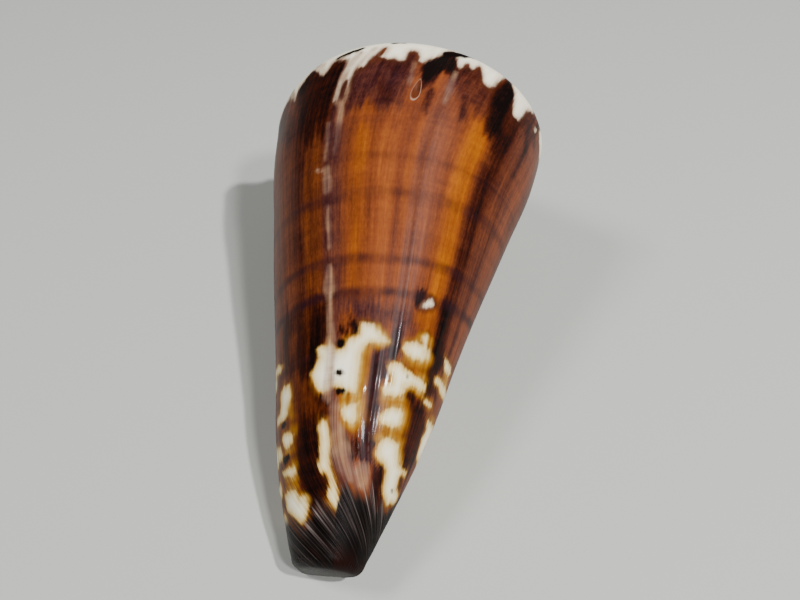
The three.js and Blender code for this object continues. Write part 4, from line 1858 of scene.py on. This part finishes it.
@dataclass(frozen=True)
class PitPaint:
    """The brown inside and the chalky rim of the small drop-shaped pit, in millimetres."""

    age: float = 0.3878
    height: float = 18.4
    girth: float = 146.0
    lean: float = 0.25
    half_width: float = 0.85
    half_height: float = 1.75
    middle_width: float = 0.75
    widening: float = 0.16
    inside_edge: Range = (0.7, 1.0)
    inside_cover: float = 0.55
    inside_colour: str = "33170c"
    rim_sharpness: float = 7.0
    rim_edge: Range = (0.0, 0.9)
    rim_cover: float = 0.55
    rim_colour: str = "a38f7c"
    strong_side: tuple[float, float] = (1.6, 0.5)
    side_edge: Range = (-0.3, 0.5)
    weak_side: float = 0.35

    def paint(self, graph: Graph, at: Place, colour: Value) -> Value:
        """Draws the pit over the colour, with its rim strongest at one side.

        Args:
            graph: the material's nodes.
            at: the place.
            colour: the colour so far.

        Returns:
            The colour.
        """
        along = at.height - self.height
        across = (at.age - self.age) * self.girth + along * self.lean
        half = self.half_width * (self.middle_width + along * self.widening)
        out = graph.length(across / half, along / self.half_height)
        inside = (1.0 - out.rise(*self.inside_edge)) * self.inside_cover
        colour = graph.mix(inside, colour, srgb(self.inside_colour))
        rim = (1.0 - (out - 1.0).size() * self.rim_sharpness).rise(*self.rim_edge)
        to_side, to_front = self.strong_side
        side = (across * to_side + along * to_front).rise(*self.side_edge)
        side = side * (1.0 - self.weak_side) + self.weak_side
        return graph.mix(rim * side * self.rim_cover, colour, srgb(self.rim_colour))


@dataclass(frozen=True)
class OutsideFinish:
    """The glossy outside, in brown, white and black, with its finest relief in metres."""

    gloss: Gloss = Gloss()
    brown: BodyBrown = BodyBrown()
    marks: MarkPaint = MarkPaint()
    front: FrontPaint = FrontPaint()
    pit: PitPaint = PitPaint()
    roughness: float = 0.4
    worn: Amounts = ((Noise.WORN, 0.05),)
    ridge_edge: Range = (0.0, 1.5)
    ridge_roughness: float = 0.1
    ridge_rise: float = 0.00003
    relief: Amounts = ((Noise.RAISED, 0.000004), (Noise.GRIT, 0.000002))

    def make(self) -> bpy.types.Material:
        """Paints the outside.

        Returns:
            The material.
        """
        graph = Graph("shell_outside")
        at = Place.read(graph)
        colour = self.marks.paint(graph, at, self.brown.paint(graph, at))
        colour = self.pit.paint(graph, at, self.front.paint(graph, at, colour))
        ridges, cover = at.noises[Noise.THREADS], self.front.cover(at)
        rough = self.roughness + at.blend(self.worn)
        rough = rough + ridges.rise(*self.ridge_edge) * cover * self.ridge_roughness
        raised = at.blend(self.relief) + ridges * cover * self.ridge_rise
        return graph.finish(colour, rough, raised, self.gloss)


@dataclass(frozen=True)
class InsideFinish:
    """The smooth inside: white with a violet depth and a dark stain at the front end."""

    gloss: Gloss = Gloss(coat=0.8, coat_roughness=0.05)
    cloud: Grain = Grain(9.0, 0.08, 21.0)
    streak: Grain = Grain(60.0, 0.03, 22.0)
    white: str = "d6cec6"
    violet: str = "8d8094"
    violet_ages: Range = (0.0, 0.35)
    violet_wander: float = 0.05
    stain: str = "3a2529"
    stain_heights: Range = (70.0, 78.0)
    stain_wander: float = 2.0
    stain_cover: float = 0.8
    margin: str = "8a5c34"
    margin_ages: Range = (0.008, 0.03)
    margin_wander: float = 0.003
    margin_cover: float = 0.6
    roughness: float = 0.2
    streak_roughness: float = 0.03
    streak_rise: float = 0.00001

    def make(self) -> bpy.types.Material:
        """Paints the inside.

        Returns:
            The material.
        """
        graph = Graph("shell_inside")
        line, band, _ = graph.read("lines")
        age, height = graph.growth()
        cloud = graph.noise(line, band, self.cloud)
        streak = graph.noise(line, band, self.streak)
        deep = (age + cloud * self.violet_wander).rise(*self.violet_ages)
        colour = graph.mix(deep, srgb(self.white), srgb(self.violet))
        stained = (height + cloud * self.stain_wander + streak).rise(*self.stain_heights)
        colour = graph.mix(stained * self.stain_cover, colour, srgb(self.stain))
        margin = 1.0 - (age + streak * self.margin_wander).rise(*self.margin_ages)
        colour = graph.mix(margin * self.margin_cover, colour, srgb(self.margin))
        rough = self.roughness + streak * self.streak_roughness
        return graph.finish(colour, rough, streak * self.streak_rise, self.gloss)


@dataclass(frozen=True)
class Lamp:
    """A square area light that looks at the middle of the shell.

    The azimuth is in degrees round from +X towards +Y and the elevation in degrees above the floor. The
    distance from the middle and the side are in metres, and the power is in watts.
    """

    name: str
    azimuth: float
    elevation: float
    distance: float
    side: float
    power: float
    glossy: bool = True

    def build(self, middle: Vector) -> None:
        """Adds the light to the scene.

        Args:
            middle: the point that the light looks at.
        """
        data = bpy.data.lights.new(self.name, "AREA")
        data.size = self.side
        data.energy = self.power
        turn, lift = math.radians(self.azimuth), math.radians(self.elevation)
        way = Vector((math.cos(turn) * math.cos(lift), math.sin(turn) * math.cos(lift), math.sin(lift)))
        facing = way.to_track_quat("Z", "Y").to_matrix().to_4x4()
        made = add_object(self.name, data)
        made.matrix_world = Matrix.Translation(middle + way * self.distance) @ facing
        made.visible_glossy = self.glossy


@dataclass
class Studio:
    """The pale floor, the soft lights and the camera, in metres."""

    floor_size: float = 3.0
    floor_colour: str = "a9aaa5"
    floor_roughness: float = 0.9
    sky: Colour = (0.9, 0.95, 1.0, 1.0)
    sky_strength: float = 0.1
    lamps: tuple[Lamp, ...] = (
        Lamp("key", -23.0, 57.0, 0.6, 0.022, 4.5),
        Lamp("second", -41.0, 52.0, 0.6, 0.05, 2.5),
        Lamp("fill", 189.0, 54.0, 0.7, 0.16, 3.2, glossy=False),
    )
    aim: tuple[float, float, float] = (0.0, 0.0, 0.02)
    camera_at: tuple[float, float, float] = (0.01563, -0.0752, 0.09757)
    right: tuple[float, float, float] = (0.98778, 0.15557, -0.00948)
    down: tuple[float, float, float] = (0.10937, -0.73519, -0.66898)
    lens: float = 33.75
    sensor: float = 36.0
    nearest: float = 0.005

    def camera(self) -> None:
        """Places the camera at the photograph's viewing angle."""
        right, down = Vector(self.right).normalized(), Vector(self.down).normalized()
        back = right.cross(-down).normalized()
        facing = Matrix((right, back.cross(right), back)).transposed().to_4x4()
        data = bpy.data.cameras.new("camera")
        data.lens = self.lens
        data.sensor_width = self.sensor
        data.clip_start = self.nearest
        made = add_object("camera", data)
        made.matrix_world = Matrix.Translation(self.camera_at) @ facing
        bpy.context.scene.camera = made

    def floor(self) -> None:
        """Lays the plain floor."""
        shape = bmesh.new()
        bmesh.ops.create_grid(shape, x_segments=2, y_segments=2, size=self.floor_size / 2.0)
        floor = add_object("floor", mesh_of("floor", shape))
        material = bpy.data.materials.new("floor")
        material.use_nodes = True
        surface = material.node_tree.nodes["Principled BSDF"]
        surface.inputs["Base Color"].default_value = srgb(self.floor_colour)
        surface.inputs["Roughness"].default_value = self.floor_roughness
        floor.data.materials.append(material)

    def build(self) -> None:
        """Makes the floor, the sky, the lights and the camera."""
        self.floor()
        world = bpy.data.worlds.new("world")
        world.use_nodes = True
        background = world.node_tree.nodes["Background"]
        background.inputs["Color"].default_value = self.sky
        background.inputs["Strength"].default_value = self.sky_strength
        bpy.context.scene.world = world
        for lamp in self.lamps:
            lamp.build(Vector(self.aim))
        self.camera()


def main() -> None:
    """Builds the shell and its studio, and reports each piece."""
    logging.basicConfig(level=logging.INFO, format="%(name)s: %(message)s")
    form = ShellForm()
    shell = form.build("cone_shell")
    Painter(form).paint(shell.data)
    shell.data.materials.clear()
    for finish in (OutsideFinish(), InsideFinish()):
        shell.data.materials.append(finish.make())
    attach(shell, "root")
    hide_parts(NODE)
    LOG.info("%s: %d faces", shell.name, len(shell.data.polygons))
    Studio().build()


if __name__ == "__main__":
    main()
